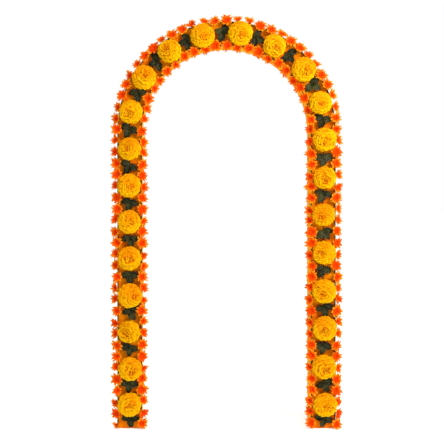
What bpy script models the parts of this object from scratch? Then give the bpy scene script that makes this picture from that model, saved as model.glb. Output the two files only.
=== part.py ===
"""A doorway arch dressed with marigold heads, rose-leaf sprigs and orange edge garlands.

Metres, +Z up, with the front towards -Y. The origin is on the floor, in the middle of the
arch's box. Distances along the arch run from the left foot, over the crown, to the right foot.
"""

import math
import random
from dataclasses import dataclass

import bmesh
import bpy
from mathutils import Matrix, Vector
from mathutils.bvhtree import BVHTree

# Box-section arch
ARCH_WIDTH = 1.120
STRIP_WIDTH = 0.127
ARCH_DEPTH = 0.100
SPRING_HEIGHT = 1.527
BOARD_THICKNESS = 0.006
SIDE_THICKNESS = 0.004
FOOT_BLOCK_HEIGHT = 0.120
ARC_STEPS = 24
CROWN_BLOCK_STEPS = 4
SEAT_GAP = 0.0003
WELD_DISTANCE = 0.00001

# Marigold heads
HEAD_COUNT = 24
HEAD_RADIUS = 0.060
HEAD_HEIGHT = 0.070
HEAD_BASE_RADIUS = 0.030
HEAD_RADIUS_SPREAD = 0.05
HEAD_SWAY = 0.10
HEAD_NUDGE = 0.003
HEAD_CLEARANCE = 0.0012
FIRST_HEAD = 0.131
LAST_HEAD = 0.126
HEAD_CREEP = 0.030
PETALS_PER_TIER = 7
TIER_ANGLES = (-8, 22, 48, 70)
NOTCH_DEPTH = 0.86
VALLEY_DEPTH = 0.74
PETAL_UNEVENNESS = 0.04
PETAL_RIPPLE = 0.0016
WAIST_SHARE = 0.42
SHOULDER_RADIUS_SHARE = 0.70
SHOULDER_HEIGHT_SHARE = 0.20
EYE_HEIGHT_SHARE = 0.90

# Rose-leaf sprigs
LEAFLET_LENGTH = 0.052
LEAFLET_WIDTH = 0.036
LEAFLET_THICKNESS = 0.0009
LEAFLET_OUTLINE = ((0.34, 0.50), (0.55, 0.36), (0.68, 0.41))
LEAFLET_ARCH = 0.15
LEAFLET_LEVELLING = 0.6
LEAFLET_STAGGER = 0.006
LEAFLET_SIZES = (0.88, 1.08)
LEAFLET_TRIES = 14
LEAFLET_SHRINK = 0.05
LEAFLET_DROP = 1.5
LEAF_HEADINGS = ((-74, 66, -8), (-62, 84, 14), (-88, 58, -30), (-58, 102, 40))
LEAF_HEADING_SPREAD = 8
LEAF_PITCHES = (24, 30, 48)
LEAF_PITCH_SPREAD = 4
LEAF_NODE_SETBACK = 0.020
TWIG_RADIUS = 0.0022
TWIG_RISE = 0.008
TWIG_CLEARANCE = 0.009
SPRIG_CLEARANCE = 0.0008
FLOOR_CLEARANCE = 0.003

# Edge garlands
GARLAND_STEM_RADIUS = 0.003
GARLAND_END_GAP = 0.001
GARLAND_CLEARANCE = 0.0005
FLORET_PITCH = 0.058
FIRST_FLORET_OUTER = 0.024
FIRST_FLORET_INNER = 0.032
FLORET_NECK_LENGTH = 0.009
FLORET_NECK_RADIUS = 0.0022
FLORET_ROOT_DEPTH = 0.0015
FLORET_COLLAR_SHARE = 0.6
FLORET_EYE_SHARE = 0.35
FLORET_PETAL_LENGTH = 0.029
FLORET_PETAL_SIZES = (0.9, 1.0)
FLORET_NOTCH = 0.56
FLORET_TIP_HALF_ANGLE = math.radians(21)
FIVE_PETALLED_SHARE = 0.30
FLORET_OPENING_FREE = (58, 74)
FLORET_OPENING_BY_HEAD = (46, 56)
FLORET_LEAN_FREE = (4, 30)
FLORET_LEAN_BY_HEAD = (38, 50)
FLORET_LEAN_LIMIT = 86
FLORET_SIZE_SPREAD = 0.07
FLORET_SWING = 34
FLORET_TRIES = 14
FLORET_SHRINK = 0.03
FLORET_CLOSING = 2
FLORET_LEANING = 4
REACH_BESIDE_HEAD = 0.8 * HEAD_RADIUS
NEIGHBOUR_REACH = 0.25

SEED = 2087

OUTER_RADIUS = ARCH_WIDTH / 2
INNER_RADIUS = OUTER_RADIUS - STRIP_WIDTH
CENTRE_RADIUS = OUTER_RADIUS - STRIP_WIDTH / 2
CENTRE_LENGTH = 2 * SPRING_HEIGHT + math.pi * CENTRE_RADIUS
FRONT_Y = (HEAD_HEIGHT - ARCH_DEPTH) / 2
BACK_Y = FRONT_Y + ARCH_DEPTH
BOX_DEPTH = ARCH_DEPTH - 2 * BOARD_THICKNESS - 2 * SEAT_GAP
STEM_Y = FRONT_Y - SEAT_GAP - GARLAND_STEM_RADIUS
FORWARD = Vector((0, -1, 0))

MATERIALS = {
    "orange_board": ((0.86, 0.30, 0.005), 0.75),
    "light_orange_side": ((0.95, 0.46, 0.02), 0.70),
    "pale_wood": ((0.62, 0.45, 0.27), 0.80),
    "marigold_petals": ((0.93, 0.50, 0.003), 0.65),
    "calyx_green": ((0.05, 0.09, 0.015), 0.60),
    "rose_leaf_green": ((0.03, 0.05, 0.018), 0.50),
    "garland_stem_green": ((0.04, 0.10, 0.012), 0.55),
    "floret_petals": ((0.95, 0.14, 0.004), 0.60),
}


@dataclass
class Strand:
    """One strand of a garland: the florets it carries, and where its stem starts and ends."""

    name: str
    numbers: range
    start: float
    end: float


@dataclass
class Edge:
    """One front edge of the arch, with the names of its garland's strands from the left foot."""

    strand_names: tuple
    radius: float
    outward_sign: int
    first_floret: float

    @property
    def length(self):
        """Length of the whole edge, from the left foot to the right foot."""
        return 2 * SPRING_HEIGHT + math.pi * self.radius

    def floret_distance(self, number):
        """Distance along the edge to a floret; they are even, with one at the crown's top."""
        run = self.length / 2 - self.first_floret
        return self.first_floret + number * run / round(run / FLORET_PITCH)

    def strands(self):
        """The strands along the edge; of three, two fill the legs and one the crown."""
        count = 1 + 2 * round((self.length / 2 - self.first_floret) / FLORET_PITCH)
        in_leg = sum(self.floret_distance(number) < SPRING_HEIGHT for number in range(count))
        firsts = [0, in_leg, count - in_leg][: len(self.strand_names)]
        found = []
        for name, first, past in zip(self.strand_names, firsts, [*firsts[1:], count]):
            start, end = SEAT_GAP, self.length - SEAT_GAP
            if first > 0:
                start = self.floret_distance(first - 0.5) + GARLAND_END_GAP
            if past < count:
                end = self.floret_distance(past - 0.5) - GARLAND_END_GAP
            found.append(Strand(name, range(first, past), start, end))
        return found


EDGES = (
    Edge(("garland_outer",), OUTER_RADIUS - GARLAND_STEM_RADIUS, 1, FIRST_FLORET_OUTER),
    Edge(
        ("garland_inner_left", "garland_inner_crown", "garland_inner_right"),
        INNER_RADIUS + GARLAND_STEM_RADIUS,
        -1,
        FIRST_FLORET_INNER,
    ),
)


def clear_scene():
    """Remove whatever the new file came with."""
    for obj in list(bpy.data.objects):
        bpy.data.objects.remove(obj, do_unlink=True)


def make_materials():
    """One Principled material for each finish."""
    made = {}
    for name, (colour, roughness) in MATERIALS.items():
        material = bpy.data.materials.new(name)
        material.use_nodes = True
        shader = material.node_tree.nodes["Principled BSDF"]
        shader.inputs["Base Color"].default_value = (*colour, 1.0)
        shader.inputs["Roughness"].default_value = roughness
        shader.inputs["Metallic"].default_value = 0.0
        material.diffuse_color = (*colour, 1.0)
        made[name] = material
    return made


def draws(name):
    """The random draws of one piece, which are the same in every build."""
    return random.Random(f"{name} {SEED}")


def arch_frame(radius, distance):
    """Position in the arch's plane, direction of travel and direction away from the doorway."""
    arc_length = math.pi * radius
    if distance < SPRING_HEIGHT:
        return Vector((-radius, 0, distance)), Vector((0, 0, 1)), Vector((-1, 0, 0))
    if distance > SPRING_HEIGHT + arc_length:
        height = 2 * SPRING_HEIGHT + arc_length - distance
        return Vector((radius, 0, height)), Vector((0, 0, -1)), Vector((1, 0, 0))
    angle = (distance - SPRING_HEIGHT) / radius
    away = Vector((-math.cos(angle), 0, math.sin(angle)))
    along = Vector((math.sin(angle), 0, math.cos(angle)))
    return Vector((0, 0, SPRING_HEIGHT)) + away * radius, along, away


def mesh_object(name, mesh, collection, *materials):
    """A new object for a mesh, with its materials."""
    for material in materials:
        mesh.materials.append(material)
    obj = bpy.data.objects.new(name, mesh)
    collection.objects.link(obj)
    return obj


def face_outwards(mesh, weld=False):
    """Turn every face of a closed mesh outwards, welding loose caps first if asked."""
    work = bmesh.new()
    work.from_mesh(mesh)
    if weld:
        bmesh.ops.remove_doubles(work, verts=work.verts, dist=WELD_DISTANCE)
    bmesh.ops.recalc_face_normals(work, faces=work.faces)
    work.to_mesh(mesh)
    work.free()


def mesh_from_faces(name, points, faces):
    """A mesh whose faces all point outwards."""
    mesh = bpy.data.meshes.new(name)
    mesh.from_pydata([tuple(point) for point in points], [], faces)
    face_outwards(mesh)
    return mesh


def evaluated_mesh(obj):
    """A welded mesh of a curve object as it stands in the scene."""
    evaluated = obj.evaluated_get(bpy.context.evaluated_depsgraph_get())
    mesh = bpy.data.meshes.new_from_object(evaluated)
    mesh.transform(obj.matrix_world)
    face_outwards(mesh, weld=True)
    return mesh


def round_stem(name, radius, route):
    """The closed mesh of a slim four-sided stem along a route."""
    curve = bpy.data.curves.new(name, "CURVE")
    curve.dimensions = "3D"
    curve.bevel_depth = radius
    curve.bevel_resolution = 0
    curve.use_fill_caps = True
    spline = curve.splines.new("POLY")
    spline.points.add(len(route) - 1)
    for point, place in zip(spline.points, route):
        point.co = (*place, 1)
    obj = bpy.data.objects.new(name, curve)
    bpy.context.scene.collection.objects.link(obj)
    mesh = evaluated_mesh(obj)
    bpy.data.objects.remove(obj, do_unlink=True)
    return mesh


def swollen_tree(mesh, amount):
    """A search tree of a mesh pushed out along its normals."""
    points = [v.co + v.normal * amount for v in mesh.vertices]
    return BVHTree.FromPolygons(points, [tuple(p.vertices) for p in mesh.polygons])


def is_clear(mesh, trees):
    """Whether a mesh stays off the floor and meets none of the search trees."""
    if min(v.co.z for v in mesh.vertices) < FLOOR_CLEARANCE:
        return False
    own = swollen_tree(mesh, 0)
    return not any(own.overlap(tree) for tree in trees)


def union_all(base, others):
    """Join a base object and some meshes in one closed body."""
    helpers = bpy.data.collections.new("joining")
    bpy.context.scene.collection.children.link(helpers)
    for mesh in others:
        helper = bpy.data.objects.new(mesh.name, mesh)
        helper.hide_render = True
        helper.display_type = "WIRE"
        helpers.objects.link(helper)
    join = base.modifiers.new("join", "BOOLEAN")
    join.operation = "UNION"
    join.operand_type = "COLLECTION"
    join.collection = helpers
    join.solver = "EXACT"
    join.use_self = True
    evaluated = base.evaluated_get(bpy.context.evaluated_depsgraph_get())
    joined = bpy.data.meshes.new_from_object(evaluated)
    base.modifiers.remove(join)
    for helper in list(helpers.objects):
        bpy.data.objects.remove(helper, do_unlink=True)
    bpy.data.collections.remove(helpers)
    base.data = joined
    joined.name = base.name


def arc_points(radius, start, end, steps):
    """Points on an arc about the spring centre, from one angle to another."""
    angles = [start + (end - start) * i / steps for i in range(steps + 1)]
    return [(radius * math.cos(a), SPRING_HEIGHT + radius * math.sin(a)) for a in angles]


def arch_outline(outer, inner):
    """The closed outline of an upright arch between two radii, feet on the floor."""
    over = arc_points(outer, math.pi, 0, ARC_STEPS)
    back = arc_points(inner, 0, math.pi, ARC_STEPS)
    return [(-outer, 0), *over, (outer, 0), (inner, 0), *back, (-inner, 0)]


def upright_plate(name, outline, thickness, front, collection, material):
    """A flat outline in the arch's plane, given a thickness behind its front face."""
    curve = bpy.data.curves.new(name, "CURVE")
    curve.dimensions = "2D"
    curve.fill_mode = "BOTH"
    curve.extrude = thickness / 2
    spline = curve.splines.new("POLY")
    spline.points.add(len(outline) - 1)
    for point, (x, z) in zip(spline.points, outline):
        point.co = (x, z, 0, 1)
    spline.use_cyclic_u = True
    curve.materials.append(material)
    obj = bpy.data.objects.new(name, curve)
    obj.location = (0, front + thickness / 2, 0)
    obj.rotation_euler = (math.radians(90), 0, 0)
    collection.objects.link(obj)
    return obj


def foot_block(name, x, width, inside, collection, wood):
    """The block that closes one foot and carries its leg."""
    bpy.ops.mesh.primitive_cube_add(size=1)
    block = bpy.context.object
    block.name = name
    block.data.name = name
    block.data.transform(Matrix.Diagonal((width, BOX_DEPTH, FOOT_BLOCK_HEIGHT, 1)))
    block.data.materials.append(wood)
    block.location = (x, inside + BOX_DEPTH / 2, FOOT_BLOCK_HEIGHT / 2)
    for other in list(block.users_collection):
        other.objects.unlink(block)
    collection.objects.link(block)


def build_box_arch(collection, materials):
    """The boards, the bent strips between them and the blocks inside; returns the front board."""
    orange, side, wood = (materials[n] for n in ("orange_board", "light_orange_side", "pale_wood"))
    face = arch_outline(OUTER_RADIUS, INNER_RADIUS)
    rear = BACK_Y - BOARD_THICKNESS
    front = upright_plate("front_board", face, BOARD_THICKNESS, FRONT_Y, collection, orange)
    upright_plate("back_board", face, BOARD_THICKNESS, rear, collection, orange)
    inside = FRONT_Y + BOARD_THICKNESS + SEAT_GAP
    outer_band = arch_outline(OUTER_RADIUS, OUTER_RADIUS - SIDE_THICKNESS)
    inner_band = arch_outline(INNER_RADIUS + SIDE_THICKNESS, INNER_RADIUS)
    upright_plate("outer_side_strip", outer_band, BOX_DEPTH, inside, collection, side)
    upright_plate("inner_side_strip", inner_band, BOX_DEPTH, inside, collection, side)
    width = STRIP_WIDTH - 2 * (SIDE_THICKNESS + SEAT_GAP)
    foot_block("foot_block_left", -CENTRE_RADIUS, width, inside, collection, wood)
    foot_block("foot_block_right", CENTRE_RADIUS, width, inside, collection, wood)
    top = math.pi / 2
    half = math.pi * CROWN_BLOCK_STEPS / ARC_STEPS / 2
    over = arc_points(CENTRE_RADIUS + width / 2, top + half, top - half, CROWN_BLOCK_STEPS)
    back = arc_points(CENTRE_RADIUS - width / 2, top - half, top + half, CROWN_BLOCK_STEPS)
    upright_plate("crown_block", over + back, BOX_DEPTH, inside, collection, wood)
    return front


def head_distance(index):
    """Distance along the centreline to a head; the spacing widens towards the right foot."""
    last = HEAD_COUNT - 1
    pitch = (CENTRE_LENGTH - FIRST_HEAD - LAST_HEAD) / last
    creep = 4 * HEAD_CREEP * index * (last - index) / last**2
    return FIRST_HEAD + pitch * index - creep


def on_board(distance, sideways):
    """Matrix that stands local +Z out of the front board, with local +Y along the arch."""
    place, along, away = arch_frame(CENTRE_RADIUS, distance)
    spot = place + away * sideways + Vector((0, FRONT_Y - SEAT_GAP, 0))
    turn = Matrix((along.cross(FORWARD), along, FORWARD)).transposed().to_4x4()
    return Matrix.Translation(spot) @ turn


def dome_point(radius, degrees, share):
    """Reach and rise of a point of the head's dome, at a share of its full reach."""
    waist = WAIST_SHARE * HEAD_HEIGHT
    angle = math.radians(degrees)
    return radius * math.cos(angle) * share, waist + (HEAD_HEIGHT - waist) * math.sin(angle)


def petal_rings(rng, radius):
    """Reach and rise round every ring of a head: shoulder, then petal rims and valleys in turn."""
    columns = 2 * PETALS_PER_TIER
    rings = [[(SHOULDER_RADIUS_SHARE * radius, SHOULDER_HEIGHT_SHARE * HEAD_HEIGHT)] * columns]
    for tier, degrees in enumerate(TIER_ANGLES):
        rim = []
        for column in range(columns):
            share = 1 - rng.uniform(0, PETAL_UNEVENNESS)
            if (column + tier) % 2:
                reach, rise = dome_point(radius, degrees, share * NOTCH_DEPTH)
                rim.append((reach, rise + PETAL_RIPPLE))
            else:
                reach, rise = dome_point(radius, degrees, share)
                rim.append((reach, rise - PETAL_RIPPLE))
        rings.append(rim)
        if tier + 1 < len(TIER_ANGLES):
            between = (degrees + TIER_ANGLES[tier + 1]) / 2
            rings.append([dome_point(radius, between, VALLEY_DEPTH)] * columns)
    return rings


def head_faces(ring_count):
    """Faces of a head: its flat base, the underside, the rings of petals and the eye."""
    columns = 2 * PETALS_PER_TIER
    eye = ring_count * columns
    base = eye + 1
    faces = [tuple(range(base, base + PETALS_PER_TIER))]
    for petal in range(PETALS_PER_TIER):
        a, b, c = 2 * petal, 2 * petal + 1, (2 * petal + 2) % columns
        foot, beside = base + petal, base + (petal + 1) % PETALS_PER_TIER
        faces.extend([(foot, b, a), (foot, beside, b), (b, beside, c)])
    for ring in range(ring_count - 1):
        for column in range(columns):
            a, b = ring * columns + column, ring * columns + (column + 1) % columns
            c, d = b + columns, a + columns
            faces.extend([(a, b, c), (a, c, d)] if (column + ring) % 2 else [(a, b, d), (b, c, d)])
    rim = (ring_count - 1) * columns
    faces.extend((rim + c, rim + (c + 1) % columns, eye) for c in range(columns))
    return faces


def head_mesh(name, rng):
    """A pompon of scalloped petal tiers, raised in rings from a small flat base."""
    radius = HEAD_RADIUS * (1 + rng.uniform(-HEAD_RADIUS_SPREAD, HEAD_RADIUS_SPREAD))
    columns = 2 * PETALS_PER_TIER
    turn = rng.uniform(0, math.tau)
    sway = Vector((rng.uniform(-HEAD_SWAY, HEAD_SWAY), rng.uniform(-HEAD_SWAY, HEAD_SWAY), 1))

    def around(reach, column):
        angle = turn + math.tau * column / columns
        return Vector((reach * math.cos(angle), reach * math.sin(angle), 0))

    rings = petal_rings(rng, radius)
    points = []
    for ring in rings:
        points.extend(around(reach, column) + sway * rise for column, (reach, rise) in enumerate(ring))
    points.append(sway * EYE_HEIGHT_SHARE * HEAD_HEIGHT)
    points.extend(around(HEAD_BASE_RADIUS, column + 0.5) for column in range(0, columns, 2))
    mesh = mesh_from_faces(name, points, head_faces(len(rings)))
    calyx_top = SHOULDER_HEIGHT_SHARE * HEAD_HEIGHT
    for polygon in mesh.polygons:
        polygon.material_index = 1 if polygon.center.z < calyx_top else 0
    return mesh


def build_heads(collection, materials):
    """Every head on the centreline; returns a search tree for each, a little enlarged."""
    trees = []
    for index in range(HEAD_COUNT):
        name = f"head_{index + 1:02d}"
        rng = draws(name)
        mesh = head_mesh(name, rng)
        mesh.transform(on_board(head_distance(index), rng.uniform(-HEAD_NUDGE, HEAD_NUDGE)))
        mesh_object(name, mesh, collection, materials["marigold_petals"], materials["calyx_green"])
        trees.append(swollen_tree(mesh, HEAD_CLEARANCE))
    return trees


def leaflet_mesh(name, size, pitch):
    """A thin serrated blade along +X that climbs at its pitch and arches over to its tip."""
    length, width = LEAFLET_LENGTH * size, LEAFLET_WIDTH * size
    right = [(along, -share * width) for along, share in LEAFLET_OUTLINE]
    left = [(along, share * width) for along, share in reversed(LEAFLET_OUTLINE)]
    outline = [(0.0, 0.0), *right, (1.0, 0.0), *left]

    def raised(x, y):
        angle = pitch * (1 - LEAFLET_LEVELLING * x)
        height = length * x * (math.sin(angle) - LEAFLET_ARCH * x)
        return Vector((length * x * math.cos(angle), y, height))

    upper = [raised(x, y) for x, y in outline]
    lower = [point - Vector((0, 0, LEAFLET_THICKNESS)) for point in upper]
    count = len(outline)
    tip = len(right) + 1
    blade = [(0, 1, count - 1), (tip - 1, tip, tip + 1)]
    blade.extend((i, i + 1, count - 1 - i, count - i) for i in range(1, tip - 1))
    faces = blade + [tuple(corner + count for corner in reversed(face)) for face in blade]
    for i in range(count):
        j = (i + 1) % count
        faces.extend([(i, i + count, j + count), (i, j + count, j)])
    return mesh_from_faces(name, upper + lower, faces)


def sprig_span(index):
    """Where the twig below a head starts and ends along the arch."""
    reach = HEAD_BASE_RADIUS + TWIG_CLEARANCE
    start = head_distance(index - 1) + reach if index > 0 else FLOOR_CLEARANCE
    last = CENTRE_LENGTH - FLOOR_CLEARANCE
    end = head_distance(index) - reach if index < HEAD_COUNT else last
    return start, end


def sprig_leaflets(name, rng, half, hanging, matrix, obstacles):
    """Three leaflets up one end of the twig, each bent clear of what stands round it."""
    leaflets = []
    node = -min(LEAF_NODE_SETBACK, half / 2)
    for number, heading in enumerate(rng.choice(LEAF_HEADINGS)):
        root = node + LEAFLET_STAGGER * number
        rise = TWIG_RADIUS + (TWIG_RISE - TWIG_RADIUS) * (1 - abs(root) / half)
        turned = math.radians(heading + rng.uniform(-LEAF_HEADING_SPREAD, LEAF_HEADING_SPREAD))
        pitch = LEAF_PITCHES[number] + rng.uniform(-LEAF_PITCH_SPREAD, LEAF_PITCH_SPREAD)
        size = rng.uniform(*LEAFLET_SIZES)
        direction = math.atan2(hanging * math.cos(turned), math.sin(turned))
        seat = Matrix.Translation((0, hanging * root, rise)) @ Matrix.Rotation(direction, 4, "Z")
        for attempt in range(LEAFLET_TRIES):
            shrunk = size * (1 - LEAFLET_SHRINK * attempt)
            lowered = math.radians(pitch - LEAFLET_DROP * attempt)
            mesh = leaflet_mesh(f"{name}_{number}", shrunk, lowered)
            mesh.transform(matrix @ seat)
            if is_clear(mesh, obstacles):
                leaflets.append(mesh)
                break
    return leaflets


def build_sprigs(collection, materials, board_tree, head_trees):
    """One leafy twig below each head, and one more between the two at the crown."""
    for index in range(HEAD_COUNT + 1):
        name = f"leaf_sprig_{index + 1:02d}"
        start, end = sprig_span(index)
        half = (end - start) / 2
        matrix = on_board(start + half, 0)
        hanging = -1 if index <= HEAD_COUNT // 2 else 1
        route = [(0, -half, TWIG_RADIUS), (0, 0, TWIG_RISE), (0, half, TWIG_RADIUS)]
        twig = round_stem(name, TWIG_RADIUS, route)
        twig.transform(matrix)
        around = [board_tree, *head_trees[max(0, index - 1) : index + 1]]
        leaflets = sprig_leaflets(name, draws(name), half, hanging, matrix, around)
        union_all(mesh_object(name, twig, collection, materials["rose_leaf_green"]), leaflets)


def floret_mesh(name, rng, size, opening):
    """A cup of blunt petals on a short neck that rises along +Z from the garland's stem."""
    petals = 5 if rng.random() < FIVE_PETALLED_SHARE else 4
    turn = rng.uniform(0, math.tau)
    neck_top = FLORET_NECK_LENGTH * size
    length = FLORET_PETAL_LENGTH * size
    notch = FLORET_NOTCH * length
    step = math.tau / petals

    def ring_point(out, angle, height):
        return Vector((out * math.cos(angle), out * math.sin(angle), height))

    def rim_point(reach, angle):
        return ring_point(reach * math.sin(opening), angle, neck_top + reach * math.cos(opening))

    points = []
    for petal in range(petals):
        middle = turn + step * petal
        reach = length * rng.uniform(*FLORET_PETAL_SIZES)
        points.append(rim_point(notch, middle - step / 2))
        points.append(rim_point(reach, middle - FLORET_TIP_HALF_ANGLE))
        points.append(rim_point(reach, middle + FLORET_TIP_HALF_ANGLE))
    eye = len(points)
    points.append(Vector((0, 0, neck_top + FLORET_EYE_SHARE * notch * math.cos(opening))))
    for corner in range(3):
        angle = turn - step / 2 + math.tau * (corner + 0.5) / 3
        points.append(ring_point(FLORET_NECK_RADIUS, angle, FLORET_COLLAR_SHARE * neck_top))
    points.append(Vector((0, 0, -FLORET_ROOT_DEPTH)))
    return mesh_from_faces(name, points, floret_faces(eye))


def floret_faces(eye):
    """Faces of a floret whose rim comes first, then its eye, its collar and its root."""
    collar, root = eye + 1, eye + 4
    faces = [(collar + corner, root, collar + (corner + 1) % 3) for corner in range(3)]
    for i in range(eye):
        j = (i + 1) % eye
        under, next_under = collar + 3 * i // eye, collar + 3 * j // eye
        faces.extend([(i, j, eye), (j, i, under)])
        if under != next_under:
            faces.append((j, under, next_under))
    return faces


def beside_a_head(edge, distance):
    """Whether a point of an edge lies beside a head rather than between two."""
    arc = min(max(distance - SPRING_HEIGHT, 0), math.pi * edge.radius)
    centre = distance + arc * (CENTRE_RADIUS / edge.radius - 1)
    return any(abs(centre - head_distance(i)) < REACH_BESIDE_HEAD for i in range(HEAD_COUNT))


def settled_floret(name, rng, matrix, beside_head, obstacles):
    """A floret turned at random, then leaned outwards, closed and shrunk until it is clear."""
    lean = rng.uniform(*(FLORET_LEAN_BY_HEAD if beside_head else FLORET_LEAN_FREE))
    opening = rng.uniform(*(FLORET_OPENING_BY_HEAD if beside_head else FLORET_OPENING_FREE))
    swing = Matrix.Rotation(math.radians(rng.uniform(-FLORET_SWING, FLORET_SWING)), 4, "Z")
    size = 1 + rng.uniform(-FLORET_SIZE_SPREAD, FLORET_SIZE_SPREAD)
    state = rng.getstate()
    for attempt in range(FLORET_TRIES):
        rng.setstate(state)
        cup = math.radians(opening - FLORET_CLOSING * attempt)
        mesh = floret_mesh(name, rng, size * (1 - FLORET_SHRINK * attempt), cup)
        flare = math.atan2(math.sin(cup), FLORET_NECK_LENGTH / FLORET_PETAL_LENGTH + math.cos(cup))
        tilt = min(lean + FLORET_LEANING * attempt, FLORET_LEAN_LIMIT - math.degrees(flare))
        mesh.transform(matrix @ swing @ Matrix.Rotation(math.radians(tilt), 4, "Y"))
        if is_clear(mesh, obstacles):
            return mesh
    return None


def strand_florets(strand, edge, board_tree, obstacles):
    """The florets of a strand, each clear of the board and of what stands near it."""
    rng = draws(strand.name)
    florets = []
    for number in strand.numbers:
        distance = edge.floret_distance(number)
        place, _, away = arch_frame(edge.radius, distance)
        outward = away * edge.outward_sign
        turn = Matrix((outward, FORWARD.cross(outward), FORWARD)).transposed().to_4x4()
        spot = place + Vector((0, STEM_Y, 0))
        near = [tree for middle, tree in obstacles if (middle - spot).length < NEIGHBOUR_REACH]
        matrix = Matrix.Translation(spot) @ turn
        beside = beside_a_head(edge, distance)
        name = f"{strand.name}_{number}"
        floret = settled_floret(name, rng, matrix, beside, [board_tree, *near])
        if floret:
            florets.append(floret)
    return florets


def stem_point(edge, distance):
    """A point of the line that the stems of an edge follow."""
    return arch_frame(edge.radius, distance)[0] + Vector((0, STEM_Y, 0))


def strand_stem(strand, edge):
    """The stem of a strand, straight in the legs and bent in even steps over the crown."""
    arc_length = math.pi * edge.radius
    bends = [SPRING_HEIGHT + arc_length * step / ARC_STEPS for step in range(ARC_STEPS + 1)]
    inside = [bend for bend in bends if strand.start < bend < strand.end]
    route = [stem_point(edge, distance) for distance in (strand.start, *inside, strand.end)]
    return round_stem(strand.name, GARLAND_STEM_RADIUS, route)


def colour_stem(mesh, radius):
    """Give the faces that lie on the stem the second material."""
    for polygon in mesh.polygons:
        x, y, z = polygon.center
        reach = math.hypot(x, max(0, z - SPRING_HEIGHT))
        on_stem = math.hypot(reach - radius, y - STEM_Y) < GARLAND_STEM_RADIUS
        polygon.material_index = 1 if on_stem else 0


def place_and_tree(obj, clearance):
    """The middle of an object's box, with its search tree."""
    corners = [Vector(corner) for corner in obj.bound_box]
    return sum(corners, Vector()) / len(corners), swollen_tree(obj.data, clearance)


def build_garlands(collection, materials, board_tree):
    """The strands of the garlands along both front edges, each a stem fused with its florets."""
    flowers = []
    for prefix, clearance in (("head_", HEAD_CLEARANCE), ("leaf_sprig_", SPRIG_CLEARANCE)):
        named = [obj for obj in collection.objects if obj.name.startswith(prefix)]
        flowers.extend(place_and_tree(obj, clearance) for obj in named)
    for edge in EDGES:
        around = list(flowers)
        for strand in edge.strands():
            florets = strand_florets(strand, edge, board_tree, around)
            stem = strand_stem(strand, edge)
            petals, green = materials["floret_petals"], materials["garland_stem_green"]
            obj = mesh_object(strand.name, stem, collection, petals, green)
            union_all(obj, florets)
            colour_stem(obj.data, edge.radius)
            meeting = stem_point(edge, strand.end)
            around.append((meeting, swollen_tree(obj.data, GARLAND_CLEARANCE)))


def main():
    """Build the arch from its frame outwards, so that each later piece can keep clear."""
    clear_scene()
    collection = bpy.data.collections.new("flower_arch")
    bpy.context.scene.collection.children.link(collection)
    materials = make_materials()
    front_board = build_box_arch(collection, materials)
    board_tree = swollen_tree(evaluated_mesh(front_board), GARLAND_CLEARANCE)
    head_trees = build_heads(collection, materials)
    build_sprigs(collection, materials, board_tree, head_trees)
    build_garlands(collection, materials, board_tree)


main()
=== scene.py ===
"""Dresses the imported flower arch: smooth boards, marigold heads, rose leaves and floret garlands.

Metres, +Z up, with the front towards -Y. Distances along the arch run from the left foot, over
the crown, to the right foot, as they do in the part's source.
"""

import logging
import math
import random
from dataclasses import dataclass, field
from enum import Enum
from typing import Iterable, Sequence

import bmesh
import bpy
import numpy as np
from bpy.types import Light, Material, Node, NodeOutputs, NodeSocket, NodeTree, Object, World
from mathutils import Matrix, Vector
from mathutils.bvhtree import BVHTree


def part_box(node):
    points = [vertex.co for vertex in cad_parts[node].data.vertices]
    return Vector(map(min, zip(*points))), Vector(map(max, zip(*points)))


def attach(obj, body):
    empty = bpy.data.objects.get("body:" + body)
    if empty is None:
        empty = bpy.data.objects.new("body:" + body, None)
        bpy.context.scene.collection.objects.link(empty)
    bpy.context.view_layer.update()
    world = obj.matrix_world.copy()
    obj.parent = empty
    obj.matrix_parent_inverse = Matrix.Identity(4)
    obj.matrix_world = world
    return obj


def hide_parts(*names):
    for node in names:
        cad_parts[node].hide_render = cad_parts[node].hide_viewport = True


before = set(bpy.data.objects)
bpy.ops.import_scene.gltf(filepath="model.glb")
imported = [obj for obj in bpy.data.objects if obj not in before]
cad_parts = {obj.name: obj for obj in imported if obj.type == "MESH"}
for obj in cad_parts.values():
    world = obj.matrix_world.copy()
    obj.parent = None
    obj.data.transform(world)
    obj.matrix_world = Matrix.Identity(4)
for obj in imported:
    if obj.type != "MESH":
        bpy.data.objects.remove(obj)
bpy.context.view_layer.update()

LOG = logging.getLogger("flower_arch")
BODY = "root"
SEED = 2087
FORWARD = Vector((0, -1, 0))
SHEET_VALUES = "sheet"
PLAIN_TONE = 0.5
Span = tuple[float, float]
Triple = tuple[float, float, float]


class Slot(Enum):
    """The record's material slots that the new pieces' finishes stand for."""

    BOARD = "board_orange"
    SIDE = "side_orange"
    FLORETS = "garland_florets"
    HEADS = "marigold_heads"
    LEAVES = "rose_leaves"


def draws(name: str) -> random.Random:
    """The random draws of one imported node, as the part's source makes them."""
    return random.Random(f"{name} {SEED}")


def head_node(index: int) -> str:
    """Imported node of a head, counted from 0 at the left foot."""
    return f"head_{index + 1:02d}"


def sprig_node(index: int) -> str:
    """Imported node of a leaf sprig, counted from 0 at the left foot."""
    return f"leaf_sprig_{index + 1:02d}"


def growing(start: float, gain: float, share: float | np.ndarray) -> float | np.ndarray:
    """A size that gains in proportion to a share, or to each of many."""
    return start + gain * share


def laid(points: np.ndarray, place: Matrix) -> np.ndarray:
    """Points moved by a matrix."""
    move = np.array(place)
    return points @ move[:3, :3].T + move[:3, 3]


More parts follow.
